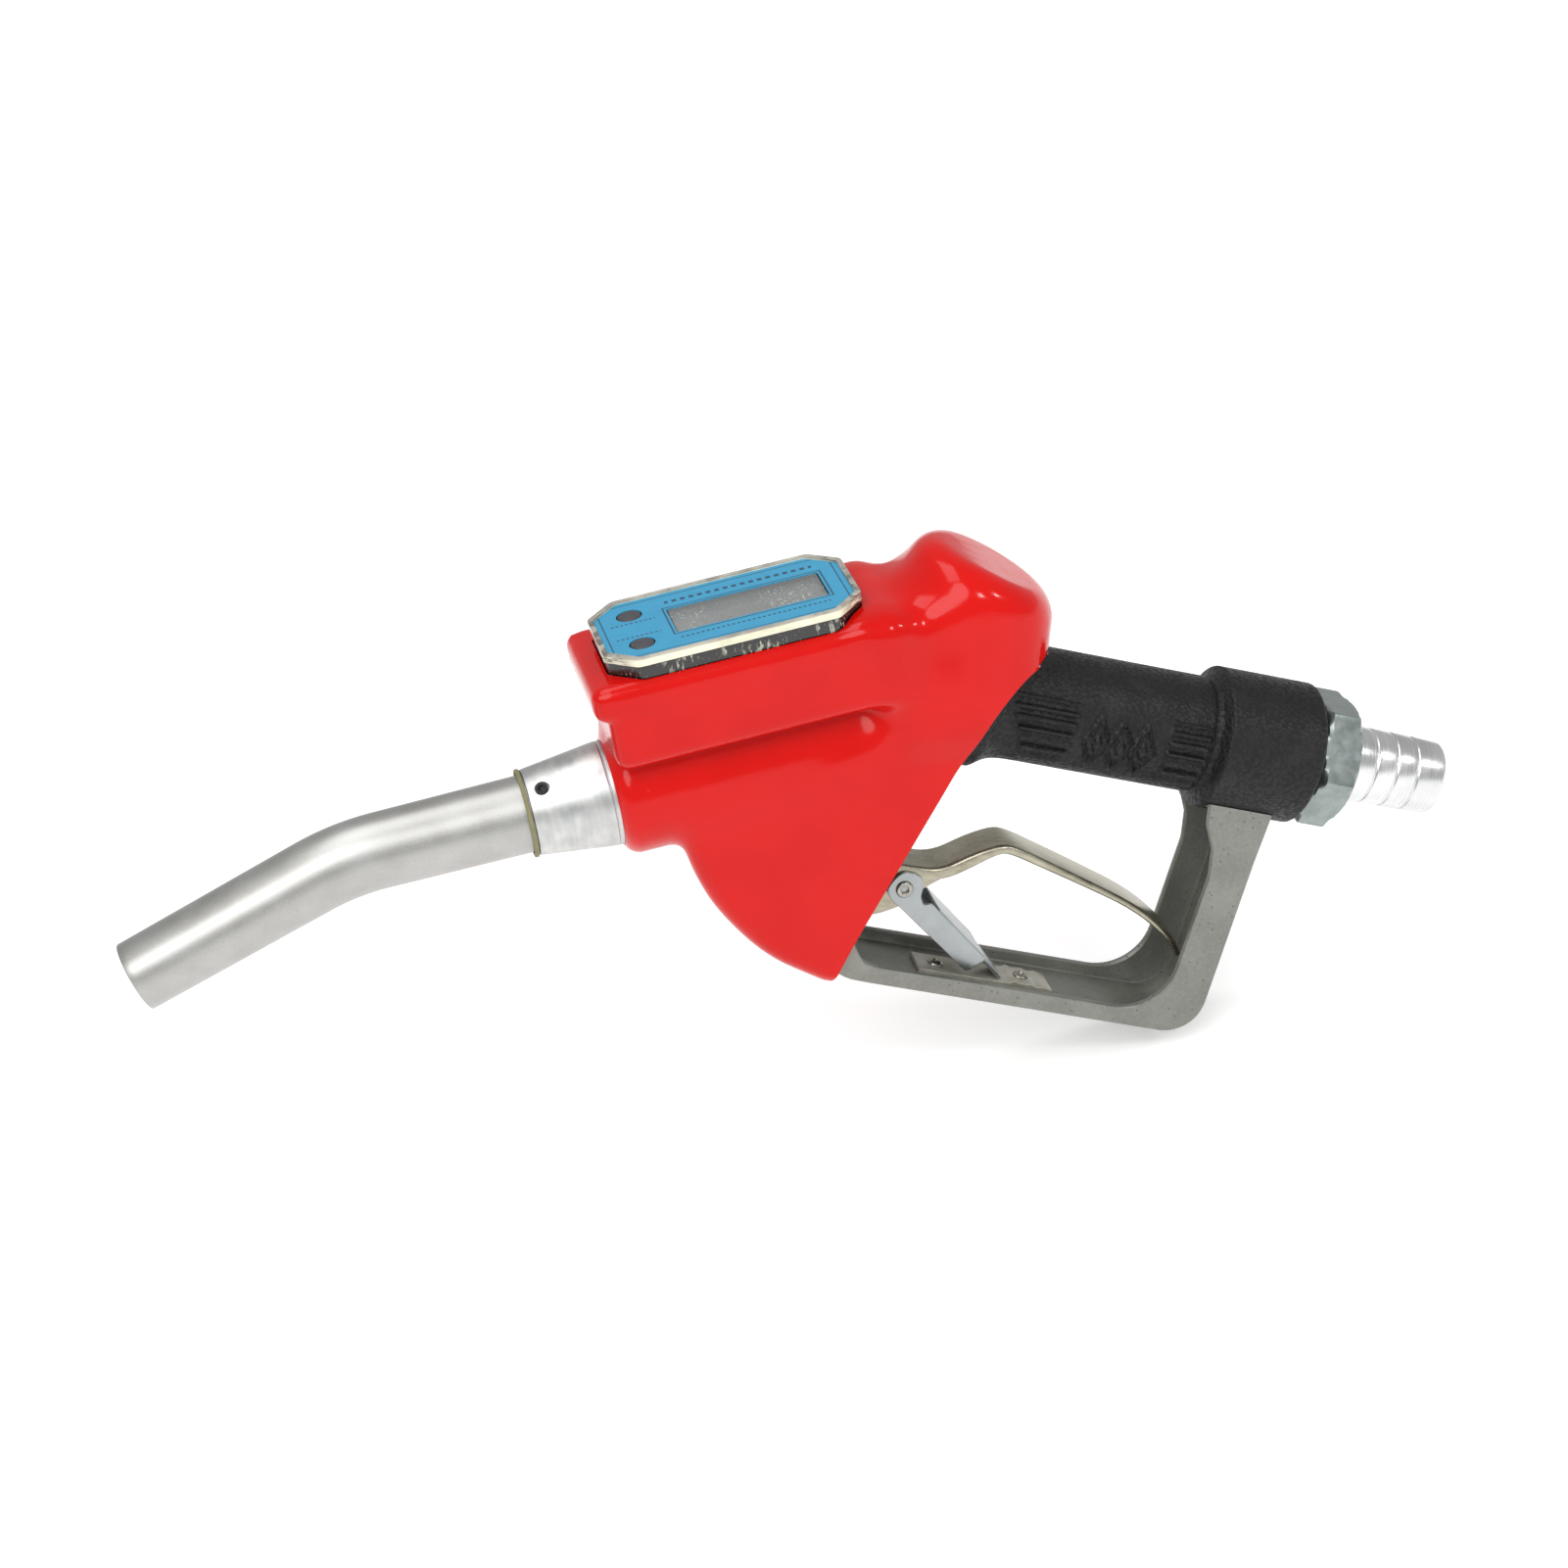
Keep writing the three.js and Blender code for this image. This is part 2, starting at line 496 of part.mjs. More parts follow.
// ---- handle ------------------------------------------------------------------------------
function makeHandle() {
  const sleeve = turned([
    [-8, SLEEVE.tube + 0.4], [-8, SLEEVE.radius], [SLEEVE.step - 1, SLEEVE.radius],
    [SLEEVE.step + 1, SLEEVE.cup - 1], [SLEEVE.step + 2.2, SLEEVE.cup], [SLEEVE.end - 1, SLEEVE.cup],
    [SLEEVE.end, SLEEVE.cup - 1], [SLEEVE.end, SLEEVE.boss + 0.4], [78.5, SLEEVE.boss + 0.4],
    [78.5, SLEEVE.tube + 0.4],
  ]);
  const chamber = rod(VALVE.radius + 0.4, -60, 60, AXIS_Z, ROUND, moved(VALVE.s, 0, 0));
  const slot = box(12, 14, 10, moved(97, 0, -24));
  piece(handle, 'grip_sleeve', cut(sleeve, chamber, slot), FINISH.grip);

  const strainer = turned([
    [62, 0], [62, 8], [92, 11.6], [93, 12.1], [94.5, 12.1], [94.5, 11], [92, 10.8], [63, 7.2], [63, 0],
  ], AXIS_X, 24);
  piece(handle, 'inlet_strainer', strainer, FINISH.brass);
}

function makeInlet() {
  const hexagon = rod(HEX.flats / Math.sqrt(3), HEX.from, HEX.to, AXIS_X, 6);
  const bore = rod(13.65, 100, 140, AXIS_X, ROUND);
  const chamfer = turned([
    [HEX.from, 0], [HEX.from, 21.2], [HEX.from + 1.6, 24], [HEX.to - 1.6, 24], [HEX.to, 21.2],
    [HEX.to, 0],
  ]);
  const spigot = turned([
    [96, 11], [96, 16.2], [HEX.from, 16.2], [HEX.from, 17], [HEX.from + 3, 17], [HEX.from + 3, 13.6],
    [112, 13.6], [112, 15], [109, 15], [109, 13.6], [104, 13.6], [104, 11],
  ]);
  piece(handle, 'hex_connector', join(hexagon.intersect(chamfer).subtract(bore), spigot), FINISH.zinc);

  const profile = [[104.4, TAIL.bore], [104.4, 13.25], [128.2, 13.25]];
  const [ridges, first] = [4, 129.5];
  const pitch = (TAIL.end - first) / ridges;
  for (let i = 0; i < ridges; i += 1) {
    const from = first + pitch * i;
    const radius = TAIL.radius - 0.15 * i;
    profile.push([from - 0.6, radius - 0.8], [from + 0.3, radius], [from + pitch - 1.6, radius - 0.2]);
  }
  profile.push([TAIL.end - 0.8, 12.6], [TAIL.end, 12], [TAIL.end, TAIL.bore]);
  piece(handle, 'hose_tail', turned(profile), FINISH.spout);
  const seal = tube(14.8, 13.45, 109.5, 111.5, AXIS_X, ROUND);
  piece(handle, 'swivel_seal', seal, FINISH.rubber);
}

// ---- lever guard -------------------------------------------------------------------------
function makeGuard() {
  const foot = -43;
  const body = [
    [foot, -96, 1], [-36, -99.3, 1], [-29, -100.4, 1], [-27, GUARD.bottom, 1],
    [GUARD.back, GUARD.bottom, 12], [GUARD.back, -22.5], [81, -22.5], [GUARD.post, -29, 5],
    [GUARD.post, GUARD.rim, 17], [-20, GUARD.rim, 2], [-26, -86, 3], [foot, -86, 2],
  ];
  const channel = [
    [foot - 9, -98.4], [-31, -98.4, 2], [-26, GUARD.floor, 2], [GUARD.back - 3, GUARD.floor, 10],
    [GUARD.back - 3, -26], [70, -26], [70, -70], [foot - 9, -70],
  ];
  const cup = rod(SLEEVE.cup + 0.4, 60, 120, AXIS_X, ROUND);
  const screwHoles = [10.5, 42.1].map((s) => rod(1.7, -110, -90, AXIS_Z, 12, moved(s, 0, 0)));
  const footHole = rod(2.2, -30, 30, AXIS_Y, SMALL, atFootScrew);
  const lug = box(10, 12, 6.4, moved(97, 0, -24.9));
  const boss = rod(SLEEVE.boss + 0.4, 80, 120, AXIS_X, ROUND);
  const walls = cut(slab(body, GUARD.half), slab(channel, GUARD.half - GUARD.wall), cup);
  const lugBlock = box(10, 2 * GUARD.half - 1, 3, moved(98.6, 0, -26.5));
  piece(handle, 'lever_guard', cut(join(walls, cut(lugBlock, cup), lug), boss, footHole, ...screwHoles),
    FINISH.casting);

  const rack = slab([
    [3.3, -100.65], [52.6, -100.65], [52.6, -99.3], [46, -99.3], [46, -98.7], [37, -99.3], [3.3, -99.3],
  ], 6.5);
  piece(handle, 'rack_plate', cut(rack, ...screwHoles), FINISH.zinc);
  [10.5, 42.1].forEach((s, i) => {
    const screw = turned([[-103, 0], [-103, 1.35], [-98.35, 1.35], [-98.35, 2.7], [-97.6, 2.2],
      [-97.3, 0]], AXIS_Z, SMALL, moved(s, 0, 0));
    piece(handle, `rack_screw_${i + 1}`, screw, FINISH.steel);
  });
  [-1, 1].forEach((side, i) => {
    const from = (along) => side * along;
    const screw = turned([[from(9.4), 0], [from(9.4), 1.85], [from(17.35), 1.85], [from(17.35), 2.9],
      [from(17.9), 2.4], [from(17.9), 0]], AXIS_Y, SMALL, atFootScrew);
    piece(handle, `foot_screw_${i + 1}`, screw, FINISH.steel);
  });
}

// ---- lever and hold-open latch -------------------------------------------------------------
function makeLever() {
  const top = [
    [-30, -62], [-2, -62], [9.3, -53.4], [15, -50], [19.4, -48.6], [25, -49.4], [47, -54.6],
    [72.8, -62.4], [88, -71], [92.6, -77],
  ];
  const sheet = slab(ribbon(top, LEVER.sheet), LEVER.half);
  const ears = slab([
    [-58, -83, 3], [-56, -89, 3], [-49, -91, 2.5], [-17, -80.5, 2], [-8, -76, 3], [-3, -68, 2],
    [8, -56.8, 1], [-2, -63, 1], [-30, -63, 1], [-44, -79.5, 4], [-52, -79.5, 3],
  ], LEVER.half);
  const holes = [
    rod(2.85, -20, 20, AXIS_Y, SMALL, moved(PLUNGER.s, 0, PLUNGER.eye)),
    rod(2, -20, 20, AXIS_Y, SMALL, moved(LATCH.s, 0, LATCH.v)),
  ];
  const inside = slab([[-60, -120], [20, -120], [20, -56], [-2, -64.2], [-60, -64.2]], LEVER.earInner);
  piece(handle, 'trigger_lever', cut(join(sheet, ears.subtract(inside)), ...holes), FINISH.nickel);
}

function makeLatch() {
  const leg = [
    [-18.4, -71, 4], [-12, -76, 3], [19, -96.2, 1], [23.4, -89.8, 1], [-1, -73.4, 0.5],
    [-6.2, -71.4, 0.5], [-6.5, -66, 4], [-14, -64, 5],
  ];
  const web = slab([[2, -76.8], [22.4, -90.5], [23.2, -89.4], [2.8, -75.7]], LATCH.inner + 0.6);
  const tongue = slab([
    [20, -89.9], [22, -91.3], [33, -99], [33.6, -98.2], [22.8, -90], [20.8, -88.6],
  ], 5);
  const inside = slab([[-60, -120], [60, -120], [60, -40], [-60, -40]], LATCH.inner);
  const pinHole = rod(2, -20, 20, AXIS_Y, SMALL, moved(LATCH.s, 0, LATCH.v));
  const legs = slab(leg, LATCH.outer).subtract(inside);
  piece(handle, 'hold_open_latch', cut(join(legs, web, tongue), pinHole), FINISH.zinc);

  const place = moved(LATCH.s, 0, LATCH.v);
  const rivet = turned([[-10.9, 0.9], [-10.9, 2.6], [-10.2, 2.9], [-10.2, 1.65], [10.2, 1.65],
    [10.2, 2.9], [10.9, 2.6], [10.9, 0.9]], AXIS_Y, SMALL, place);
  piece(handle, 'latch_rivet', rivet, FINISH.steel);
  const acrossPin = new THREE.Matrix4().makeRotationX(Math.PI / 2);
  piece(handle, 'latch_spring', coilSpring(3, 0.8, -4.5, 4.5, 4, acrossPin, place), FINISH.steel);
}

// ---- splash cover ------------------------------------------------------------------------
const BELLY = [
  [-31, -8], [-28, -28, 6], [-20, -45, 8], [-5.4, -66, 8], [7.5, -80.5, 3], [34, -93.4], [92, 20],
  [60, 30], [-31, 20],
];
const NECK = [[36, 0], [92, 0], [98, 30, 6], [74, 51.5, 8], [66, 52.2, 6], [54, 48.3, 6], [36, 48.3]];

// The outer form of the cover, or the hollow inside it when moved in by the wall.
function coverForm(wall) {
  const half = COVER.block - wall;
  const lengthwise = [-50.5 + wall, 56 - wall];
  const block = bar([
    [-half, 17.8 + wall, 4], [half, 17.8 + wall, 4], [half, 48.3 - wall, 5], [-half, 48.3 - wall, 5],
  ], ...lengthwise);
  const throat = bar([[-9, 5], [9, 5], [9, 30], [-9, 30]], ...lengthwise); // joins block and pipe
  const pipe = rod(COVER.tube - wall, -48.5 + wall, 56 - wall, AXIS_X, ROUND);
  const belly = new THREE.ExtrudeGeometry(outline(inset(BELLY, wall)), {
    depth: 2 * (COVER.side - wall), bevelEnabled: false, curveSegments: CURVE,
  }).applyMatrix4(SIDE_VIEW).translate(0, COVER.side - wall, 0);
  const position = belly.attributes.position;
  for (let i = 0; i < position.count; i += 1) {
    const down = THREE.MathUtils.clamp((-20 - position.getZ(i)) / 60, 0, 1);
    const here = THREE.MathUtils.lerp(COVER.side, COVER.foot, down) - wall;
    position.setY(i, (position.getY(i) * here) / (COVER.side - wall));
  }
  const neck = slab(inset(NECK, wall), COVER.side - wall);
  const top = HUMP.top - wall;
  const radius = HUMP.radius - wall;
  const hump = turned([
    [-30, 0], [-30, radius], [top - 7, radius], [top - 3, radius - 1.6], [top - 0.8, radius - 4],
    [top, radius - 8], [top, 0],
  ], AXIS_Z, ROUND, moved(HUMP.s, 0, 0), HANDLE_IN_FLOW);
  return join(block, throat, pipe, toSolid(belly), neck, hump);
}

function makeCover() {
  const rearOpening = slab([
    [-30.6, -130], [-29.8, -104], [-12.6, -19.4], [-8.5, 1], [-5, 10], [0, 19], [6, 23.5], [60, 23.5],
    [60, -130],
  ], 60, HANDLE_IN_FLOW);
  const collarHole = rod(COLLAR.backRadius + 0.5, -60, -30, AXIS_X, ROUND);
  const meterWindow = plate(meterOutline(CASE.inset - 0.4), 40, 60);
  const shell = cut(coverForm(0), coverForm(COVER.wall), rearOpening, collarHole, meterWindow);
  piece(flowLine, 'splash_cover', shell, FINISH.vinyl);
}

makeSpout();
makeCollar();
makeCheckValve();
makeMeterHousing();
makeStraightener('straightener_outlet', -16);
makeStraightener('straightener_inlet', 16);
makeTurbine();
makeMeterModule();
makeMeterFace();
makeValveBody();
makeMainValve();
makeShutOff();
makeHandle();
makeInlet();
makeGuard();
makeLever();
makeLatch();
makeCover();

export default nozzle;
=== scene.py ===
import math

import bmesh
import bpy
import numpy as np
from mathutils import Matrix, Vector


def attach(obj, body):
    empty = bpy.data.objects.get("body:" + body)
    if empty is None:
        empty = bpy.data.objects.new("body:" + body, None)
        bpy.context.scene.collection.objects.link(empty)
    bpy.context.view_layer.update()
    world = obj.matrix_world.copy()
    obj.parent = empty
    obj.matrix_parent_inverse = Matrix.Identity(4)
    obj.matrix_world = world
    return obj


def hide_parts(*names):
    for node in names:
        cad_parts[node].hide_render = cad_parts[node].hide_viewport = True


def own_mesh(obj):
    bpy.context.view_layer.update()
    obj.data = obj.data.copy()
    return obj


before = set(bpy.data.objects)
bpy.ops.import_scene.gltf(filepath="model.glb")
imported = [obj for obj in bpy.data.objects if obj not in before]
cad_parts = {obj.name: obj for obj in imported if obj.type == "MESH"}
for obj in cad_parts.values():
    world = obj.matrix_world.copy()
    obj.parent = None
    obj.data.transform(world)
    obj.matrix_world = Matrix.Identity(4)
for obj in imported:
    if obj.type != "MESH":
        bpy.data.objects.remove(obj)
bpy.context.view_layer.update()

# ---- camera ----
# It looks down on the near side from beyond the spout, a little rolled, so that the meter face,
# the cover's side and the inside of the lever guard all show.
camera = bpy.data.objects.new("camera", bpy.data.cameras.new("camera"))
camera_axes = [(0.96208, -0.21767, -0.16438), (0.24388, 0.41654, 0.87579), (-0.12217, -0.88267, 0.45383)]
camera.matrix_world = Matrix.Translation((-0.29062, -1.24214, 0.64767)) @ (
    Matrix(camera_axes).transposed().to_4x4()
)
camera.data.sensor_width = 36
camera.data.lens = 97.36
camera.data.clip_end = 20
bpy.context.scene.collection.objects.link(camera)
bpy.context.scene.camera = camera

# ---- studio ----
# A pale floor just under the guard, and an even surround that is seen brighter than it lights.
# A soft sun and a broad lamp above, and two small lamps on the near side for the crisp glints.
FLOOR_HEIGHT = -0.1195
floor_mesh = bpy.data.meshes.new("floor")
floor_corners = [(x, y, FLOOR_HEIGHT) for x, y in ((-6, -6), (6, -6), (6, 6), (-6, 6))]
floor_mesh.from_pydata(floor_corners, [], [(0, 1, 2, 3)])
floor = bpy.data.objects.new("floor", floor_mesh)
bpy.context.scene.collection.objects.link(floor)
floor_paint = bpy.data.materials.new("floor_paint")
floor_paint.use_nodes = True
floor_shader = floor_paint.node_tree.nodes["Principled BSDF"]
floor_shader.inputs["Base Color"].default_value = (0.93, 0.93, 0.93, 1)
floor_shader.inputs["Roughness"].default_value = 0.9
floor_shader.inputs["Emission Color"].default_value = (1, 1, 1, 1)
floor_shader.inputs["Emission Strength"].default_value = 0.3
floor_mesh.materials.append(floor_paint)

surround = bpy.data.worlds.new("surround")
surround.use_nodes = True
surround.node_tree.nodes["Background"].inputs["Color"].default_value = (1, 1, 1, 1)
SURROUND_LIGHT, SURROUND_SEEN = 0.5, 1.1
light_path = surround.node_tree.nodes.new("ShaderNodeLightPath")
how_bright = surround.node_tree.nodes.new("ShaderNodeMapRange")
how_bright.inputs["To Min"].default_value = SURROUND_LIGHT
how_bright.inputs["To Max"].default_value = SURROUND_SEEN
surround.node_tree.links.new(light_path.outputs["Is Camera Ray"], how_bright.inputs["Value"])
surround.node_tree.links.new(
    how_bright.outputs["Result"], surround.node_tree.nodes["Background"].inputs["Strength"]
)
bpy.context.scene.world = surround
bpy.context.scene.view_settings.view_transform = "Standard"


def add_lamp(name, place, target, size, power):
    """A square lamp at place, turned to face target. Sizes are in metres."""
    lamp = bpy.data.objects.new(name, bpy.data.lights.new(name, "AREA"))
    lamp.data.shape = "RECTANGLE"
    lamp.data.size, lamp.data.size_y = size
    lamp.data.energy = power
    lamp.location = place
    lamp.rotation_euler = (Vector(target) - Vector(place)).to_track_quat("-Z", "Y").to_euler()
    bpy.context.scene.collection.objects.link(lamp)


add_lamp("overhead_lamp", (-0.35, 0.1, 1.3), (0, 0, 0), (0.9, 0.6), 5)
add_lamp("front_lamp", (0.55, -1.2, 0.95), (0, 0, 0), (0.14, 0.28), 4)
add_lamp("glint_lamp", (1.15, -0.66, 0.8), (0, 0, 0), (0.09, 0.09), 2.5)
sun = bpy.data.objects.new("sun", bpy.data.lights.new("sun", "SUN"))
sun.data.energy = 1.5
sun.data.angle = 0.7
sun.rotation_euler = (math.radians(38), math.radians(-22), 0)
bpy.context.scene.collection.objects.link(sun)


# ---- spout ----
# An aluminium tube, bent once and left with a satin anodised skin. It narrows a little towards
# the mouth, and its straight root is clamped in the collar.
class Wire:
    """A value inside one material's node tree. Arithmetic on it adds Math nodes."""

    def __init__(self, tree, socket):
        self.tree = tree
        self.socket = socket

    def node(self, kind, settings=None, sockets=None, output=0):
        """Adds a node of a type. Its settings are set first, then the values or links of its sockets."""
        made = self.tree.nodes.new(kind)
        for key, value in (settings or {}).items():
            if key == "stops":
                ramp = made.color_ramp
                while len(ramp.elements) < len(value):
                    ramp.elements.new(0.5)
                for stop, (at, level) in zip(ramp.elements, value):
                    stop.position = at
                    stop.color = (*level, 1) if isinstance(level, tuple) else (level, level, level, 1)
            else:
                setattr(made, key, value)
        for key, value in (sockets or {}).items():
            if isinstance(value, Wire):
                self.tree.links.new(value.socket, made.inputs[key])
            else:
                made.inputs[key].default_value = value
        return Wire(self.tree, made.outputs[output])

    def math(self, operation, *values):
        return self.node("ShaderNodeMath", {"operation": operation}, dict(enumerate(values)))

    def __add__(self, other):
        return self.math("ADD", self, other)

    def __radd__(self, other):
        return self.math("ADD", other, self)

    def __sub__(self, other):
        return self.math("SUBTRACT", self, other)

    def __rsub__(self, other):
        return self.math("SUBTRACT", other, self)

    def __mul__(self, other):
        return self.math("MULTIPLY", self, other)

    def __rmul__(self, other):
        return self.math("MULTIPLY", other, self)

    def ramp(self, low, high):
        """0 below low and 1 above high, or the other way round where low is the larger."""
        settings = {"interpolation_type": "SMOOTHSTEP"}
        if low < high:
            values = {"Value": self, "From Min": low, "From Max": high}
            return self.node("ShaderNodeMapRange", settings, values)
        return 1 - self.ramp(high, low)

    def part(self, name):
        """One of X, Y and Z of a vector."""
        return self.node("ShaderNodeSeparateXYZ", sockets={0: self}, output="XYZ".index(name))

    def noise(self, size, detail=3.0, stretch=(1, 1, 1), rough=0.5):
        """Noise with features about size millimetres, longer along an axis whose stretch is over 1."""
        scale = tuple(1 / (size * s) for s in stretch)
        point = self.node("ShaderNodeVectorMath", {"operation": "MULTIPLY"}, {0: self, 1: scale})
        values = {"Vector": point, "Scale": 1.0, "Detail": detail, "Roughness": rough}
        return self.node("ShaderNodeTexNoise", {}, values)

    def specks(self, size, spread):
        """1 at scattered points about size millimetres apart, and 0 from spread of that distance on."""
        point = self.node("ShaderNodeVectorMath", {"operation": "SCALE"}, {0: self, "Scale": 1 / size})
        cells = self.node("ShaderNodeTexVoronoi", {}, {"Vector": point, "Scale": 1.0})
        return cells.ramp(spread, spread * 0.4)

    def between(self, first, second):
        """The first colour where this is 0 and the second where it is 1."""
        mix = {"data_type": "RGBA"}
        return self.node("ShaderNodeMix", mix, {"Factor": self, 6: first, 7: second}, output=2)


def tone(code):
    """A colour from its hexadecimal code, in linear light."""
    levels = np.array([int(code[i : i + 2], 16) / 255 for i in (1, 3, 5)])
    linear = np.where(levels < 0.04045, levels / 12.92, ((levels + 0.055) / 1.055) ** 2.4)
    return (*linear, 1)


class Finish:
    """A material under way: its shader, and a wire of Object coordinates in millimetres."""

    def __init__(self, name, **constants):
        self.material = bpy.data.materials.new(name)
        self.material.use_nodes = True
        self.tree = self.material.node_tree
        self.shader = self.tree.nodes["Principled BSDF"]
        place = self.tree.nodes.new("ShaderNodeTexCoord").outputs["Object"]
        metres = Wire(self.tree, place)
        self.place = metres.node("ShaderNodeVectorMath", {"operation": "SCALE"}, {0: metres, "Scale": 1000})
        for key, value in constants.items():
            self.set(key.replace("_", " "), value)

    def set(self, socket, value):
        if isinstance(value, Wire):
            self.tree.links.new(value.socket, self.shader.inputs[socket])
        else:
            self.shader.inputs[socket].default_value = value

    def bump(self, height, depth):
        """Bump where height, from 0 to 1, stands for depth millimetres."""
        values = {"Height": height, "Distance": depth * 0.001, "Strength": 1.0}
        self.set("Normal", height.node("ShaderNodeBump", {}, values))


def along_handle(finish):
    """Object coordinates turned so that X lies along the handle axis, in millimetres."""
    turn = {"Vector": finish.place, "Rotation": (0, -HANDLE_SLOPE, 0)}
    return finish.place.node("ShaderNodeMapping", {"vector_type": "POINT"}, turn)


def metal(name, colour, dark, rough, grain=(1, 1, 1), grain_size=1.2, metallic=1.0, depth=0.02,
          pitted=0.0, turned=False):
    """Bare metal: cloudy colour, a grain that can be drawn out along an axis, and small pits."""
    made = Finish(name, Metallic=metallic, IOR=1.5)
    at = along_handle(made) if turned else made.place
    clouds = at.noise(14, 4)
    fine = at.noise(grain_size, 5, grain)
    pits = at.specks(2.6, 0.16)
    mask = (clouds * 0.55 + fine * 0.45).ramp(0.3, 0.7)
    shade = mask.between(dark, colour)
    made.set("Base Color", (pits * pitted).between(shade, tuple(c * 0.35 for c in dark[:3]) + (1,)))
    made.set("Roughness", rough + (fine - 0.5) * 0.22 + (clouds - 0.5) * 0.12)
    made.bump(fine + pits * (-2.0 * pitted), depth)
    return made.material


HANDLE_START_X = 82.6
HANDLE_SLOPE = math.radians(26)
GRIP_CENTRE = 50
COS, SIN = math.cos(HANDLE_SLOPE), math.sin(HANDLE_SLOPE)


def from_flow(points):
    """Millimetres about the meter's middle on the flow axis, put in the row's frame in metres."""
    shift = np.array([HANDLE_START_X + GRIP_CENTRE * COS, 0, -GRIP_CENTRE * SIN])
    return (np.asarray(points, float) - shift) * 0.001


def from_handle(points):
    """Millimetres along, across and up from the handle axis, put in the row's frame in metres."""
    s, y, v = np.moveaxis(np.asarray(points, float), -1, 0)
    s = s - GRIP_CENTRE
    return np.stack([COS * s + SIN * v, y, COS * v - SIN * s], -1) * 0.001


def volume(points, faces):
    """Six times the signed volume inside a mesh of triangles and longer faces, each split as a fan."""
    total = 0.0
    for count in {len(f) for f in faces}:
        ring = points[np.array([f for f in faces if len(f) == count])]
        for i in range(1, count - 1):
            total += np.einsum("ij,ij->", ring[:, 0], np.cross(ring[:, i], ring[:, i + 1]))
    return total


def grid(points, loop_u=False, loop_v=True, cap=True):
    """Quads over points[u, v], closed round v and maybe round u. cap closes each open end with one face."""
    n, m = points.shape[:2]
    i = np.arange(n if loop_u else n - 1)[:, None]
    j = np.arange(m if loop_v else m - 1)[None, :]
    i2, j2 = (i + 1) % n, (j + 1) % m
    quads = np.stack([i * m + j, i * m + j2, i2 * m + j2, i2 * m + j], -1).reshape(-1, 4)
    faces = quads.tolist()
    if cap and not loop_u:
        faces += [list(range(m))[::-1], list(range((n - 1) * m, n * m))]
    flat = points.reshape(-1, 3)
    if volume(flat, faces) < 0:
        faces = [f[::-1] for f in faces]
    return flat, faces


def joined(name, parts, place):
    """One mesh object from its parts, each points and faces in millimetres, put in place by a function."""
    points, faces, start = [], [], 0
    for part_points, part_faces in parts:
        points.append(place(part_points))
        faces += [[k + start for k in f] for f in part_faces]
        start += len(part_points)
    mesh = bpy.data.meshes.new(name)
    mesh.from_pydata(np.concatenate(points).tolist(), [], faces)
    made = bpy.data.objects.new(name, mesh)
    bpy.context.scene.collection.objects.link(made)
    return made


def smooth(made, sharp=35):
    """Smooth shading, but for edges sharper than an angle in degrees."""
    made.data.shade_smooth()
    made.data.set_sharp_from_angle(angle=math.radians(sharp))


def piece(name, parts, place, material, body="root", stands_for=(), sharp=35):
    """A new piece, with what each one says: its body and the CAD nodes it stands for."""
    made = joined(name, parts, place)
    made.data.validate()
    smooth(made, sharp)
    made.data.materials.append(material)
    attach(made, body)
    if stands_for:
        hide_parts(*stands_for)
    return made


def turned(profile, sides=96):
    """A profile of along and radius, carried round the X axis. It closes on itself, or ends on the axis."""
    profile = np.asarray(profile, float)
    angle = np.linspace(0, 2 * np.pi, sides, endpoint=False)
    along, radius = profile[:, 0, None], profile[:, 1, None]
    return np.stack(np.broadcast_arrays(along, radius * np.sin(angle), radius * np.cos(angle)), -1)


def rounded(profile, radius, steps=4, closed=True):
    """A line whose corners are rounded: each corner becomes a quadratic curve that starts and ends
    radius before and after it, or nearly half of a short side."""
    profile = [tuple(p) for p in profile]
    line = []
    last = len(profile) - 1
    for i, here in enumerate(profile):
        corner = np.array(here[:2], float)
        size = here[2] if len(here) > 2 else radius
        if (not closed and i in (0, last)) or size == 0:
            line.append(corner)
            continue
        before = np.array(profile[i - 1][:2], float) - corner
        after = np.array(profile[(i + 1) % len(profile)][:2], float) - corner
        a = corner + before * min(size / np.linalg.norm(before), 0.45)
        b = corner + after * min(size / np.linalg.norm(after), 0.45)
        t = np.linspace(0, 1, steps + 1)[:, None]
        line += list((1 - t) ** 2 * a + 2 * t * (1 - t) * corner + t**2 * b)
    return np.array(line)


SPOUT_ROOT, BEND_AT, BEND_RADIUS, BEND_ANGLE = -58, -126, 80, math.radians(17)
PAST_BEND = 66.7
SPOUT_TIP = BEND_AT - BEND_RADIUS * BEND_ANGLE - PAST_BEND
TIP_RADIUS, ROOT_RADIUS, SPOUT_WALL = 12.1, 13.1, 1.6


def along_spout(points):
    """Bends a straight form on the flow axis: past the bend's start, x becomes arc length on a
    circle of the bend radius, and then a straight line in the circle's last direction."""
    x, y, z = np.moveaxis(points, -1, 0)
    past = BEND_AT - x
    turn = np.clip(past / (BEND_RADIUS * BEND_ANGLE), 0, 1) * BEND_ANGLE
    rest = np.maximum(past - BEND_RADIUS * BEND_ANGLE, 0)
    radius = BEND_RADIUS + z
    bent_x = BEND_AT - radius * np.sin(turn) - rest * np.cos(turn)
    bent_z = radius * np.cos(turn) - BEND_RADIUS - rest * np.sin(turn)
    return np.stack([np.where(past > 0, bent_x, x), y, np.where(past > 0, bent_z, z)], -1)


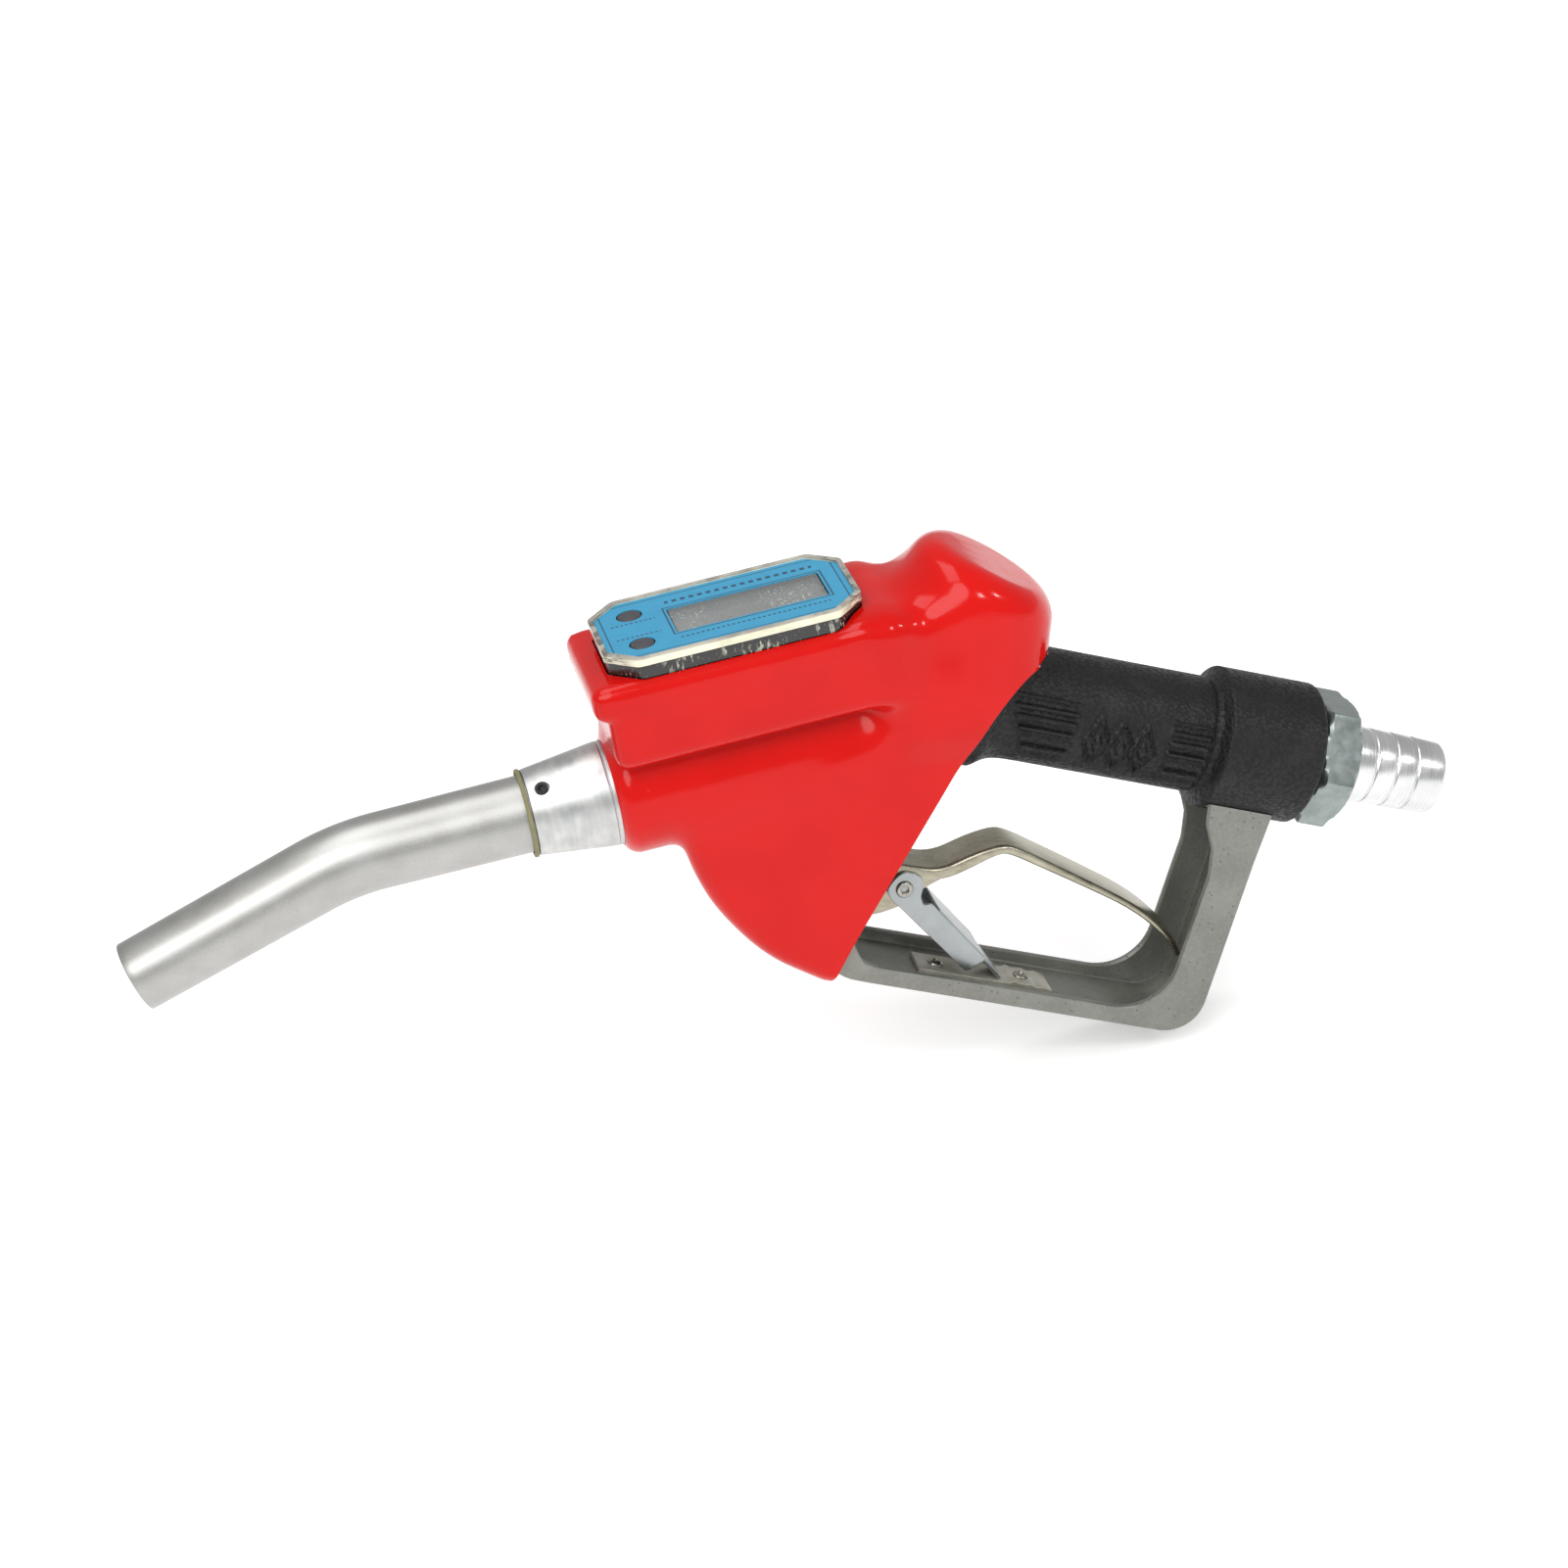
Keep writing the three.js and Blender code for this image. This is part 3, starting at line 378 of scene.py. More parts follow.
stations = np.linspace(SPOUT_ROOT, SPOUT_TIP + 0.5, 70)
spout_radius = np.interp(stations, [SPOUT_TIP, SPOUT_ROOT], [TIP_RADIUS, ROOT_RADIUS])
outside = np.stack([stations, spout_radius], -1)
lip = [(SPOUT_TIP + 0.15, 11.98), (SPOUT_TIP, 11.7), (SPOUT_TIP, 10.95), (SPOUT_TIP + 0.3, 10.55)]
inside = np.stack([stations[::-1], spout_radius[::-1] - SPOUT_WALL], -1)
spout_metal = metal("satin_anodised", tone("#b9b9b7"), tone("#a7a6a2"), 0.4, (1, 1, 1), 0.5, 0.9, 0.012)
piece("spout_skin", [grid(along_spout(turned(np.concatenate([outside, lip, inside]))), loop_u=True)],
      from_flow, spout_metal, stands_for=["spout_tube"])

# ---- seal ring ----
# A thin khaki rubber ring squeezed between the collar and the spout.
khaki = Finish("khaki_rubber", Roughness=0.7)
khaki.set("Base Color", khaki.place.noise(3).between(tone("#6f6d4c"), tone("#8a8762")))
khaki.bump(khaki.place.noise(0.6), 0.02)
ring_profile = rounded([(-77.5, 13.5), (-77.5, 14.9), (-76.05, 14.9), (-76.05, 13.5)], 0.4)
piece("collar_seal", [grid(turned(ring_profile), loop_u=True)], from_flow, khaki.material,
      stands_for=["spout_seal_ring"])

# ---- collar ----
# A turned aluminium casting that screws onto the meter's outlet. Its cone carries fine tool
# marks, and a dark grub screw in a bright countersink clamps the spout.
collar_finish = Finish("machined_casting", Metallic=1.0)
around = collar_finish.place
clouds = around.noise(7, 5)
tool_marks = around.noise(0.5, 3, (1, 60, 60))
smears = around.noise(2.2, 4, (1, 6, 6))
collar_mix = (clouds * 0.6 + smears * 0.4).ramp(0.32, 0.68)
collar_finish.set("Base Color", collar_mix.between(tone("#b4b6b6"), tone("#d0d1ce")))
collar_finish.set("Roughness", 0.3 + clouds * 0.2)
collar_finish.bump(tool_marks + clouds * 0.6, 0.05)
collar_profile = rounded([
    (-75.7, 13.5), (-75.7, 14.5), (-49.6, 17.75), (-49.3, 17.35), (-48.9, 17.75), (-42, 17.75), (-42, 13.5),
], 0.35, 3)
collar = piece("collar_cone", [grid(turned(collar_profile), loop_u=True)], from_flow,
               collar_finish.material, stands_for=["spout_collar"])
SCREW_X, SCREW_TILT = -70.8, math.radians(37)


def on_collar(points):
    """Puts a form turned about X at the set screw, pointing out of the collar."""
    out, y, z = np.moveaxis(points, -1, 0)
    flow = np.stack([SCREW_X + z, -out * math.sin(SCREW_TILT) - y * math.cos(SCREW_TILT),
                     out * math.cos(SCREW_TILT) - y * math.sin(SCREW_TILT)], -1)
    return from_flow(flow)


def cut_away(target, cutter):
    """Takes the cutter's form out of the target's mesh, and deletes the cutter."""
    cutter.hide_render = True
    step = target.modifiers.new("cut", "BOOLEAN")
    step.operation = "DIFFERENCE"
    step.solver = "EXACT"
    step.material_mode = "TRANSFER" if cutter.data.materials else "INDEX"
    step.object = cutter
    bpy.context.view_layer.update()
    shape = bpy.data.meshes.new_from_object(target.evaluated_get(bpy.context.evaluated_depsgraph_get()))
    target.modifiers.remove(step)
    target.data = shape
    bpy.data.objects.remove(cutter)


hole_profile = [(13.7, 2.45), (15.2, 2.45), (15.9, 3.1), (18, 3.1)]
cut_away(collar, joined("hole", [grid(turned(hole_profile, 32))], on_collar))
smooth(collar)

dark_steel = metal("black_oxide", tone("#2b2b2c"), tone("#131314"), 0.4, metallic=0.6)
screw_corners = [(13.5, 0.0), (13.5, 2.1), (14.9, 2.1), (14.9, 1.1), (14.2, 1.1), (14.2, 0)]
screw_profile = rounded(screw_corners, 0.15, 2, False)
piece("grub_screw", [grid(turned(screw_profile, 24), cap=False)], on_collar, dark_steel,
      stands_for=["spout_set_screw"])

# ---- splash cover ----
# One thick skin of red vinyl, dipped and stripped from its former. Everything runs together: the
# block round the meter, the pipe under it, the belly over the valve and the hump over its cap.
UPPER_BLOCK = np.array([[-50.5, 52], [-27, 27], [36, 48.3]])
LOWER_BLOCK = np.array([[-46.5, 54], [-26.8, 26.8], [17.8, 47]])
BELLY = [
    (-30.5, -4, 0), (-29, -26, 8), (-23.5, -45, 14), (-10, -67, 14), (7.5, -81, 2), (40, -93), (92, 10),
    (62, 26), (34, 4, 20),
]
NECK = [(50, 2), (92, 2), (98, 26, 8), (78, 50, 12), (67, 48.5, 8), (56, 45.6, 6), (40, 45.6)]


def join_soft(first, second, blend):
    """The nearer of two distances, with a fillet: less a quarter of the squared overlap of the two."""
    overlap = np.maximum(blend - np.abs(first - second), 0) / blend
    return np.minimum(first, second) - overlap**2 * blend / 4


def rounded_corner(across, up, radius):
    """Distance to the corner of two walls, from the distance to each, with a rounded edge."""
    across, up = across + radius, up + radius
    outside_both = np.hypot(np.maximum(across, 0), np.maximum(up, 0))
    return np.minimum(np.maximum(across, up), 0) + outside_both - radius


def to_outline(x, z, outline):
    """Signed distance to a closed line: the nearest side, negative where the winding is odd."""
    ends = np.roll(outline, -1, 0)
    nearest = np.full(x.shape, 1e9)
    inside_it = np.zeros(x.shape, bool)
    for (ax, az), (bx, bz) in zip(outline, ends):
        ex, ez = bx - ax, bz - az
        t = np.clip(((x - ax) * ex + (z - az) * ez) / (ex * ex + ez * ez), 0, 1)
        nearest = np.minimum(nearest, (x - ax - t * ex) ** 2 + (z - az - t * ez) ** 2)
        if ez:
            crossing = ((az > z) != (bz > z)) & (x < ax + (z - az) * ex / ez)
            inside_it ^= crossing
    return np.where(inside_it, -1, 1) * np.sqrt(nearest)


belly_line = rounded(BELLY, 0, 5)
neck_line = rounded(NECK, 0, 5)


def to_block(x, y, z, limits, radius):
    """Distance to a box with its edges rounded by radius."""
    middle, half = limits.mean(1), (limits[:, 1] - limits[:, 0]) / 2
    offset = [np.abs(c - m) - h + radius for c, m, h in zip((x, y, z), middle, half)]
    beyond = np.sqrt(sum(np.maximum(o, 0) ** 2 for o in offset))
    return beyond + np.minimum(np.maximum.reduce(offset), 0) - radius


def cover_distance(x, y, z):
    """Distance to the cover's outside: the soft union of a rounded block with a step across its
    front, a pipe, two rounded slabs with their outlines in x and z, and a drum over the valve."""
    block = join_soft(to_block(x, y, z, UPPER_BLOCK, 4.5), to_block(x, y, z, LOWER_BLOCK, 5.0), 1.5)
    pipe = rounded_corner(np.hypot(y, z) - 21.8, np.maximum(-48.5 - x, x - 62), 6.0)
    s = (x - HANDLE_START_X) * COS - z * SIN
    slim = np.clip((-15 - z) / 65, 0, 1)
    fuller = np.clip((s + 75) / 60, 0, 1)
    belly_half = 19.6 + 4.4 * fuller - 3.2 * slim
    belly = rounded_corner(to_outline(x, z, belly_line), np.abs(y) - belly_half, 6.5)
    neck = rounded_corner(to_outline(x, z, neck_line), np.abs(y) - 24, 9.0)
    v = (x - HANDLE_START_X) * SIN + z * COS
    tilt = 45.6 - 0.2 * (s + 15)
    drum = rounded_corner(np.hypot(s + 15, y) - 24.6, np.maximum(v - tilt, -10 - v), 8.5)
    whole = join_soft(pipe, belly, 5.0)
    whole = join_soft(whole, block, 5.5)
    whole = join_soft(whole, neck, 13.0)
    return join_soft(whole, drum, 15.0)


# Each section is a ring of rays from a heart inside the cover: up to a point over its top, down to
# one under it, and sideways. Columns: heart x, z; top x, z; bottom x, z.
SECTIONS = np.array([
    (-44.5, 27, -44.5, 60, -44.5, -40), (-38, 27, -37, 60, -40, -36), (-31, 27, -28, 60, -36, -30),
    (-24, 27, -18, 60, -33, -26), (-17, 27, -9, 60, -30, -38), (-10, 26, 0, 60, -26, -52),
    (-3, 26, 10, 60, -17, -68), (5, 25, 21, 60, -5, -84), (13, 24, 32, 60, 8, -98),
    (24, 22, 44, 62, 24, -108), (38, 20, 54, 64, 46, -100), (54, 18, 65, 66, 64, -70),
    (68, 18, 77, 66, 80, -34), (80, 18, 92, 62, 92, -14), (88, 18, 106, 52, 100, -4),
    (91, 18, 116, 40, 106, 4), (93, 18, 122, 28, 112, 9),
])
ring_count, dense_count, side_count = ((150, 560, 236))
row = np.linspace(0, len(SECTIONS) - 1, ring_count)
section = np.stack([np.interp(row, np.arange(len(SECTIONS)), c) for c in SECTIONS.T], -1)
heart = np.insert(section[:, :2], 1, 0, 1)


def unit(vectors):
    return vectors / np.linalg.norm(vectors, axis=-1, keepdims=True)


to_top = unit(np.insert(section[:, 2:4], 1, 0, 1) - heart)
to_bottom = unit(np.insert(section[:, 4:6], 1, 0, 1) - heart)
angle = np.linspace(0, 2 * np.pi, dense_count + 1)
lift = np.cos(angle)[None, :, None]
rays = np.where(lift > 0, lift * to_top[:, None], -lift * to_bottom[:, None])
rays = unit(rays + np.sin(angle)[None, :, None] * np.array([0, 1, 0]))


def walk_in(start, direction, reach, steps=70):
    """The first point of the cover's outside met on the way in: each step goes by the distance left."""
    distance = np.full(direction.shape[:-1], reach, float)
    for _ in range(steps):
        at = start + direction * distance[..., None]
        distance -= cover_distance(at[..., 0], at[..., 1], at[..., 2]) * 0.92
    return start + direction * distance[..., None]


dense = walk_in(heart[:, None], rays, 150.0)


def spaced(line, count, endpoint=True):
    """A line with count points spaced evenly by length. A closed ring leaves its last point out."""
    length = np.concatenate([[0], np.cumsum(np.linalg.norm(np.diff(line, axis=0), axis=1))])
    at = np.linspace(0, length[-1], count, endpoint=endpoint)
    return np.stack([np.interp(at, length, c) for c in line.T], -1)


rings = np.stack([spaced(r, side_count, False) for r in dense])
front = rings[0]
FRONT_X = -44.5
centre = np.array([FRONT_X, 0, 22.0])
caps = []
for share in (0.985, 0.97, 0.95, 0.92, 0.88, 0.82, 0.75, 0.66, 0.56, 0.46, 0.36, 0.26, 0.16, 0.06):
    flat = centre + (front - centre) * share
    flat[:, 0] = FRONT_X
    caps.append(walk_in(flat, np.broadcast_to([-1.0, 0, 0], flat.shape), 30.0))
cover_rings = np.concatenate([np.array(caps[::-1]), rings])

vinyl = Finish("red_vinyl", IOR=1.33, Roughness=0.16)
vinyl_clouds = vinyl.place.noise(30, 2)
vinyl.set("Base Color", vinyl_clouds.ramp(0.35, 0.65).between(tone("#c30b06"), tone("#c90e09")))
ripple = vinyl.place.noise(16, 2)
dust = vinyl.place.specks(11, 0.045)
vinyl.set("Roughness", 0.1 + vinyl_clouds * 0.08 + dust * 0.4)
vinyl.bump(ripple + vinyl.place.noise(1.6, 2) * 0.05 + dust * 0.3, 0.3)

cover = piece("vinyl_cover", [grid(cover_rings)], from_flow, vinyl.material,
              stands_for=["splash_cover"])

rear_line = rounded([
    (-30.9, -130, 0), (-29.9, -100, 20), (-12.9, -19.4, 12), (-8.7, 0, 6), (-5.4, 10, 5), (0, 19, 6),
    (8, 23.6, 6), (70, 23.6, 0), (70, -130, 0),
], 0, 8)


def slab(outline, low, high, edge=0.0, steps=3):
    """An outline in x and z carried across y from low to high. Its edges are rounded by edge."""
    outline = np.asarray(outline, float)
    tangent = unit(np.roll(outline, -1, 0) - np.roll(outline, 1, 0))
    normal = np.stack([tangent[:, 1], -tangent[:, 0]], -1)
    area = np.sum(outline[:, 0] * np.roll(outline[:, 1], -1) - np.roll(outline[:, 0], -1) * outline[:, 1])
    normal = normal if area > 0 else -normal
    if edge:
        turn = np.linspace(0, np.pi / 2, steps + 1)
        inset = np.concatenate([edge * (1 - np.sin(turn)), (edge * (1 - np.sin(turn)))[::-1]])
        across = np.concatenate([low + edge * (1 - np.cos(turn)), (high - edge * (1 - np.cos(turn)))[::-1]])
    else:
        inset, across = np.zeros(2), np.array([low, high])
    flat = outline[None] - normal[None] * inset[:, None, None]
    y = np.broadcast_to(across[:, None], flat.shape[:2])
    return grid(np.stack([flat[..., 0], y, flat[..., 1]], -1))


def flow_to_handle(points):
    """The flow frame's points in the handle's frame, in millimetres."""
    x, y, z = np.moveaxis(np.asarray(points, float), -1, 0)
    x = x - HANDLE_START_X
    return np.stack([x * COS - z * SIN, y, x * SIN + z * COS], -1)


METER = {"length": 86.3, "width": 48.7, "chamfer": 9.75}


def octagon(smaller):
    """The meter's outline in x and y, smaller all round."""
    x, y = METER["length"] / 2 - smaller, METER["width"] / 2 - smaller
    c = METER["chamfer"] - smaller * 0.4
    return [(x, c - y), (x, y - c), (x - c, y), (c - x, y),
            (-x, y - c), (-x, c - y), (c - x, -y), (x - c, -y)]


def upright(outline, low, high, edge=0.0):
    """An outline in x and y carried up z from low to high."""
    points, faces = slab(outline, low, high, edge)
    points = points[:, [0, 2, 1]]
    if volume(points, faces) < 0:
        faces = [f[::-1] for f in faces]
    return points, faces


cut_edge = bpy.data.materials.new("cut_edge")
rear_points, rear_faces = slab(rear_line, -60, 60)
window = upright(rounded(octagon(0.3), 1.5), 40, 70)
window = (flow_to_handle(window[0]), window[1])
collar_way = grid(turned([(-70, 18.1), (-36, 18.1)], 64))
collar_way = (flow_to_handle(collar_way[0]), collar_way[1])
opening = joined("opening", [(rear_points, rear_faces), window, collar_way], from_handle)
opening.data.materials.append(cut_edge)
cut_away(cover, opening)
shell = bmesh.new()
shell.from_mesh(cover.data)
bmesh.ops.delete(shell, geom=[f for f in shell.faces if f.material_index == 1], context="FACES")
bmesh.ops.remove_doubles(shell, verts=shell.verts, dist=2e-5)
shell.to_mesh(cover.data)
shell.free()
cover.data.materials.pop(index=1)
cover.data.shade_smooth()
wall = cover.modifiers.new("wall", "SOLIDIFY")
wall.thickness = 0.0026
wall.offset = -1
lip_edge = cover.modifiers.new("lip", "BEVEL")
lip_edge.width = 0.0006
lip_edge.segments = 2
lip_edge.limit_method = "ANGLE"
lip_edge.angle_limit = math.radians(60)

# ---- meter ----
# A black moulded case under a clear edged bezel, a printed blue label with a grey display behind
# a window, and two rubber buttons.
# The pale specks, and the pale streaks in patches, painted on the black case are painted glints and painted
# sheen.
case_finish = Finish("sparkling_black", Roughness=0.25)
case_grain = case_finish.place.noise(2.2, 3, (0.5, 0.5, 3))
glints = case_finish.place.specks(1.5, 0.22)
painted_sheen_streaks = case_finish.place.noise(1.5, 3, (0.7, 0.7, 2)).ramp(0.56, 0.64)
sheen_patches = case_finish.place.noise(10, 1).ramp(0.45, 0.6)
painted_glints_and_sheen = glints * 0.4 + painted_sheen_streaks * sheen_patches * 0.8
case_finish.set("Base Color", painted_glints_and_sheen.between(tone("#101211"), tone("#b9bba8")))
case_finish.bump(case_grain + glints, 0.25)
case_finish.set("Coat Weight", 0.6)
piece("case_wall", [upright(rounded(octagon(0.8), 1.2), 35.6, 52.7, 0.5)], from_flow, case_finish.material,
      stands_for=["meter_case"])

# The bezel is one clear part. Its brownish grey top and cream side, split by height, are painted shade and
# painted light: the see-through look of the clear ring under the lights.
rim_finish = Finish("clear_bezel_painted_light_and_shade", Roughness=0.14, IOR=1.5)
rim_clouds = rim_finish.place.noise(9, 3)
rim_streaks = rim_finish.place.noise(1.2, 3, (4, 4, 0.4))
rim_mix = (rim_clouds * 0.6 + rim_streaks * 0.4).ramp(0.35, 0.62)
RIM_MIDDLE = 127.5
rim_x = rim_finish.place.part("X") + RIM_MIDDLE
ends = rim_x.math("ABSOLUTE", rim_x).ramp(33.5, 41)
rim_top = (rim_finish.place.part("Z") - GRIP_CENTRE * SIN).ramp(54.9, 55.3)
rim_side_painted_light = rim_mix.between(tone("#cfceb2"), tone("#e8e6cc"))
rim_top_painted_shade = rim_mix.between(tone("#8f8880"), tone("#b9b4a6"))
rim_painted_light_and_shade = rim_top.between(rim_side_painted_light, rim_top_painted_shade)
# The darker streaks at both ends are painted reflections in the clear ends.
rim_finish.set("Base Color", (ends * rim_streaks.ramp(0.42, 0.56)).between(rim_painted_light_and_shade, tone("#5f5d55")))
rim_finish.set("Coat Weight", 0.5)
rim_finish.bump(rim_streaks, 0.08)


def face_ring(outer, inner, low, high, edge=0.35):
    """A flat ring between two of the meter's outlines, with its upper edges rounded."""
    part_way, lower = edge * 0.3, high - edge
    levels = [(outer, low), (outer, lower), (outer + part_way, high - part_way), (outer + edge, high),
              (inner - edge, high), (inner - part_way, high - part_way), (inner, lower), (inner, low)]
    loops = []
    for smaller, z in levels:
        flat = rounded(octagon(smaller), 1.4 - 0.3 * (smaller > 1), 3)
        loops.append(np.insert(flat, 2, z, 1))
    return grid(np.array(loops), loop_u=True)


piece("clear_bezel", [face_ring(0, 1.9, 52.75, 55.65, 0.3)], from_flow, rim_finish.material,
      stands_for=["meter_bezel"])

label = Finish("printed_label", Roughness=0.33)
METER_MIDDLE = HANDLE_START_X + GRIP_CENTRE * COS
label_x = label.place.part("X") + METER_MIDDLE
label_y = label.place.part("Y")


def frame_line(x, y, middle, half_x, half_y, width):
    """1 on a thin printed line round a rectangle, and 0 elsewhere."""
    off_x = (x - middle).math("ABSOLUTE", x - middle) - half_x
    off_y = y.math("ABSOLUTE", y) - half_y
    gap = off_x.math("MAXIMUM", off_x, off_y)
    size = gap.math("ABSOLUTE", gap)
    return size.ramp(width * 1.3, width * 0.7)


def dashes(x, y, row_y, low, high, pitch, height):
    """1 on a row of short printed strokes of uneven length, and 0 elsewhere."""
    band = (y - row_y).math("ABSOLUTE", y - row_y).ramp(height * 1.2, height * 0.8)
    stroke = (x * (1 / pitch)).math("FRACT", x * (1 / pitch)).ramp(0.62, 0.5)
    inside_row = x.ramp(low - 0.1, low + 0.1) * x.ramp(high + 0.1, high - 0.1)
    return band * stroke * inside_row


print_mask = frame_line(label_x, label_y, 8.1, 26.6, 10.6, 0.28)
for band in (frame_line(label_x, label_y, 0, 39.3, 20.2, 0.22),
             dashes(label_x, label_y, 14.9, -17, 33, 2.9, 0.95),
             dashes(label_x, label_y, -14.0, -17, 33, 1.7, 0.45),
             dashes(label_x, label_y, 5.4, -37, -22, 1.6, 0.4),
             dashes(label_x, label_y, -5.4, -37, -22, 1.6, 0.4)):
    print_mask = print_mask.math("MAXIMUM", print_mask, band)
label_tone = label.place.noise(6, 3).between(tone("#2a8cb4"), tone("#3598c0"))
label.set("Base Color", (print_mask * 0.9).between(label_tone, tone("#15384f")))
label.bump(label.place.noise(0.8, 2), 0.01)
plate_outline = rounded(octagon(2.0), 1.0, 3)


def window_outline(extra):
    """The display's opening in x and y, larger all round by extra."""
    x0, x1, y0, y1 = 8.1 - 25.5 - extra, 8.1 + 25.5 + extra, -9.5 - extra, 9.5 + extra
    return rounded([(x0, y0), (x1, y0), (x1, y1), (x0, y1)], 0.6 + extra, 3)


label_piece = piece("label_sheet", [upright(plate_outline, 54.4, 54.85)], from_flow, label.material,
                    stands_for=["face_label"])
BUTTON_X, BUTTON_Y = -29.5, 11.5


def stood_up(form, x, y, z=0):
    """A form turned about X, stood up along Z at a place."""
    return np.stack([form[..., 2] + x, form[..., 1] + y, form[..., 0] + z], -1)


tools = [upright(window_outline(0.1), 50, 60)]
for side in (-1, 1):
    tools.append(grid(stood_up(turned([(50, 4.35), (60, 4.35)], 40), BUTTON_X, side * BUTTON_Y)))
cut_away(label_piece, joined("label_holes", tools, from_flow))

display = Finish("grey_display", Roughness=0.3)
display_x = display.place.part("X") + METER_MIDDLE
segments = dashes(display_x, display.place.part("Y"), 0, -14, 30, 6.4, 6.0)
display_tone = display.place.noise(12, 2).between(tone("#a6a8a3"), tone("#b4b6b0"))
display.set("Base Color", (segments * 0.06).between(display_tone, tone("#5d5f5c")))
display.bump(display.place.noise(0.5), 0.005)
glass = Finish("display_window", Roughness=0.06, IOR=1.45, Alpha=0.14)
glass.set("Base Color", glass.place.noise(20).between(tone("#dfe3e2"), tone("#f2f4f4")))
piece("window_pane", [upright(window_outline(-0.3), 53.1, 54.7, 0.1)], from_flow, glass.material,
      stands_for=["lcd_window"])

button_rubber = Finish("button_rubber", Roughness=0.5)
button_rubber.set("Base Color", button_rubber.place.noise(2).between(tone("#33343a"), tone("#4a4a50")))
button_rubber.bump(button_rubber.place.noise(0.4), 0.02)
key_profile = rounded([(49, 0), (49, 4), (54.75, 4), (55.15, 3.3), (55.0, 0)], 0.35, 4, False)
for name, body, y in (("button_mode", "mode_button", BUTTON_Y), ("button_reset", "reset_button", -BUTTON_Y)):
    key = stood_up(turned(key_profile, 48), BUTTON_X, y)
    piece(name + "_key", [grid(key, cap=False)], from_flow, button_rubber.material, body, [name])

# ---- grip sleeve ----
# A black moulded rubber sleeve over the handle casting, with a fine leather grain. It flares into
# a thin lip against the cover, and raised ribs and pads on both sides keep the hand from slipping.
rubber = Finish("grained_rubber", Roughness=0.55, IOR=1.38)
grip_at = along_handle(rubber)
hide = rubber.place.specks(1.5, 0.75)
scuffs = grip_at.noise(9, 4).ramp(0.5, 0.72)
rubber.set("Base Color", (scuffs * 0.5 + hide * 0.2).between(tone("#0c0c0d"), tone("#212123")))
rubber.set("Roughness", 0.62 - hide * 0.2)
rubber.bump(hide + grip_at.noise(0.7, 3) * 0.7, 0.16)

SLEEVE_STEP, SLEEVE_END, SLEEVE_RADIUS, STEP_HEIGHT, RELIEF = 77, 113, 19.8, 4.35, 1.5
along_count, around_count = ((250, 230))
share = np.linspace(0, 1, along_count)[:, None]
round_angle = np.linspace(0, 2 * np.pi, around_count, endpoint=False)[None, :]
up_share = np.cos(round_angle)
height = 20 * up_share
edge_heights, edge_places = (-23.5, -19, -10, 0, 19.4, 40), (6.0, 0.0, -5.4, -8.7, -12.9, -17.2)
edge_s = np.interp(-height, edge_heights, edge_places) + 0.5
sleeve_s = edge_s + (SLEEVE_END - edge_s) * share
from_edge = sleeve_s - edge_s
lip_length = 1 + 6.5 * np.clip(-up_share, 0, 1)
past_lip = np.maximum(from_edge - lip_length, 0)
flare = 4.6 * np.exp(-((past_lip / 5.0) ** 1.4)) * np.clip(1.2 - up_share, 0, 1)


def step_up(x, low, high):
    """0 below low and 1 above high, with a smooth ease between."""
    t = np.clip((x - low) / (high - low), 0, 1)
    return t * t * (3 - 2 * t)


sleeve_radius = SLEEVE_RADIUS + flare + STEP_HEIGHT * step_up(sleeve_s, SLEEVE_STEP - 1.5, SLEEVE_STEP + 1.8)
sleeve_radius = sleeve_radius - 1.4 * step_up(sleeve_s, SLEEVE_END - 1.6, SLEEVE_END + 0.6) ** 2
sleeve_radius = sleeve_radius - 0.5 * np.exp(-(((sleeve_s - SLEEVE_STEP + 2.4) / 1.0) ** 2))
sleeve_v = SLEEVE_RADIUS * up_share


def ribs(s, v, low, high):
    """Rounded ridges along the handle, 3.5 apart across it, between two places along it."""
    wave = np.clip(np.cos((v + 1.2) * 2 * np.pi / 3.5) * 1.6 + 0.1, -0.2, 1)
    ends = step_up(s, low, low + 1.2) * (1 - step_up(s, high - 1.2, high))
    rows = step_up(v, -14.5, -13.7) * (1 - step_up(v, 8.9, 9.7))
    return wave * ends * rows


def lozenge(s, v, middle_s, middle_v, half_s, half_v, width):
    """A raised outline of a diamond, and a small raised diamond inside it."""
    size = np.abs(s - middle_s) / half_s + np.abs(v - middle_v) / half_v
    outline = np.exp(-(((size - 1) * half_v / width) ** 2))
    return np.maximum(outline, 1 - step_up(size, 0.25, 0.45))


relief = np.maximum(ribs(sleeve_s, sleeve_v, 3 - 0.45 * sleeve_v, 25), ribs(sleeve_s, sleeve_v, 57.5, 73))
for middle_s in (33, 41.3, 49.6):
    relief = np.maximum(relief, lozenge(sleeve_s, sleeve_v, middle_s, -2.5, 4.6, 8.5, 1.1))
side_only = step_up(np.abs(np.sin(round_angle)), 0.3, 0.45)
sleeve_radius = sleeve_radius + RELIEF * relief * side_only
sleeve = np.stack([sleeve_s, sleeve_radius * np.sin(round_angle), sleeve_radius * np.cos(round_angle)], -1)


def ring_at(s, radius):
    s = np.broadcast_to(s, round_angle.shape)
    return np.stack([s, radius * np.sin(round_angle), radius * np.cos(round_angle)], -1)


inner_rings = np.concatenate([
    ring_at(SLEEVE_END, 21.5), ring_at(78.5, 21.5), ring_at(78.3, 17.5), ring_at(12, 17.5),
    ring_at(edge_s + 0.4, 21.3), ring_at(edge_s - 0.2, 21.6 + flare[:1] * 0.4),
])
piece("rubber_sleeve", [grid(np.concatenate([sleeve, inner_rings]), loop_u=True)], from_handle,
      rubber.material, stands_for=["grip_sleeve"], sharp=60)

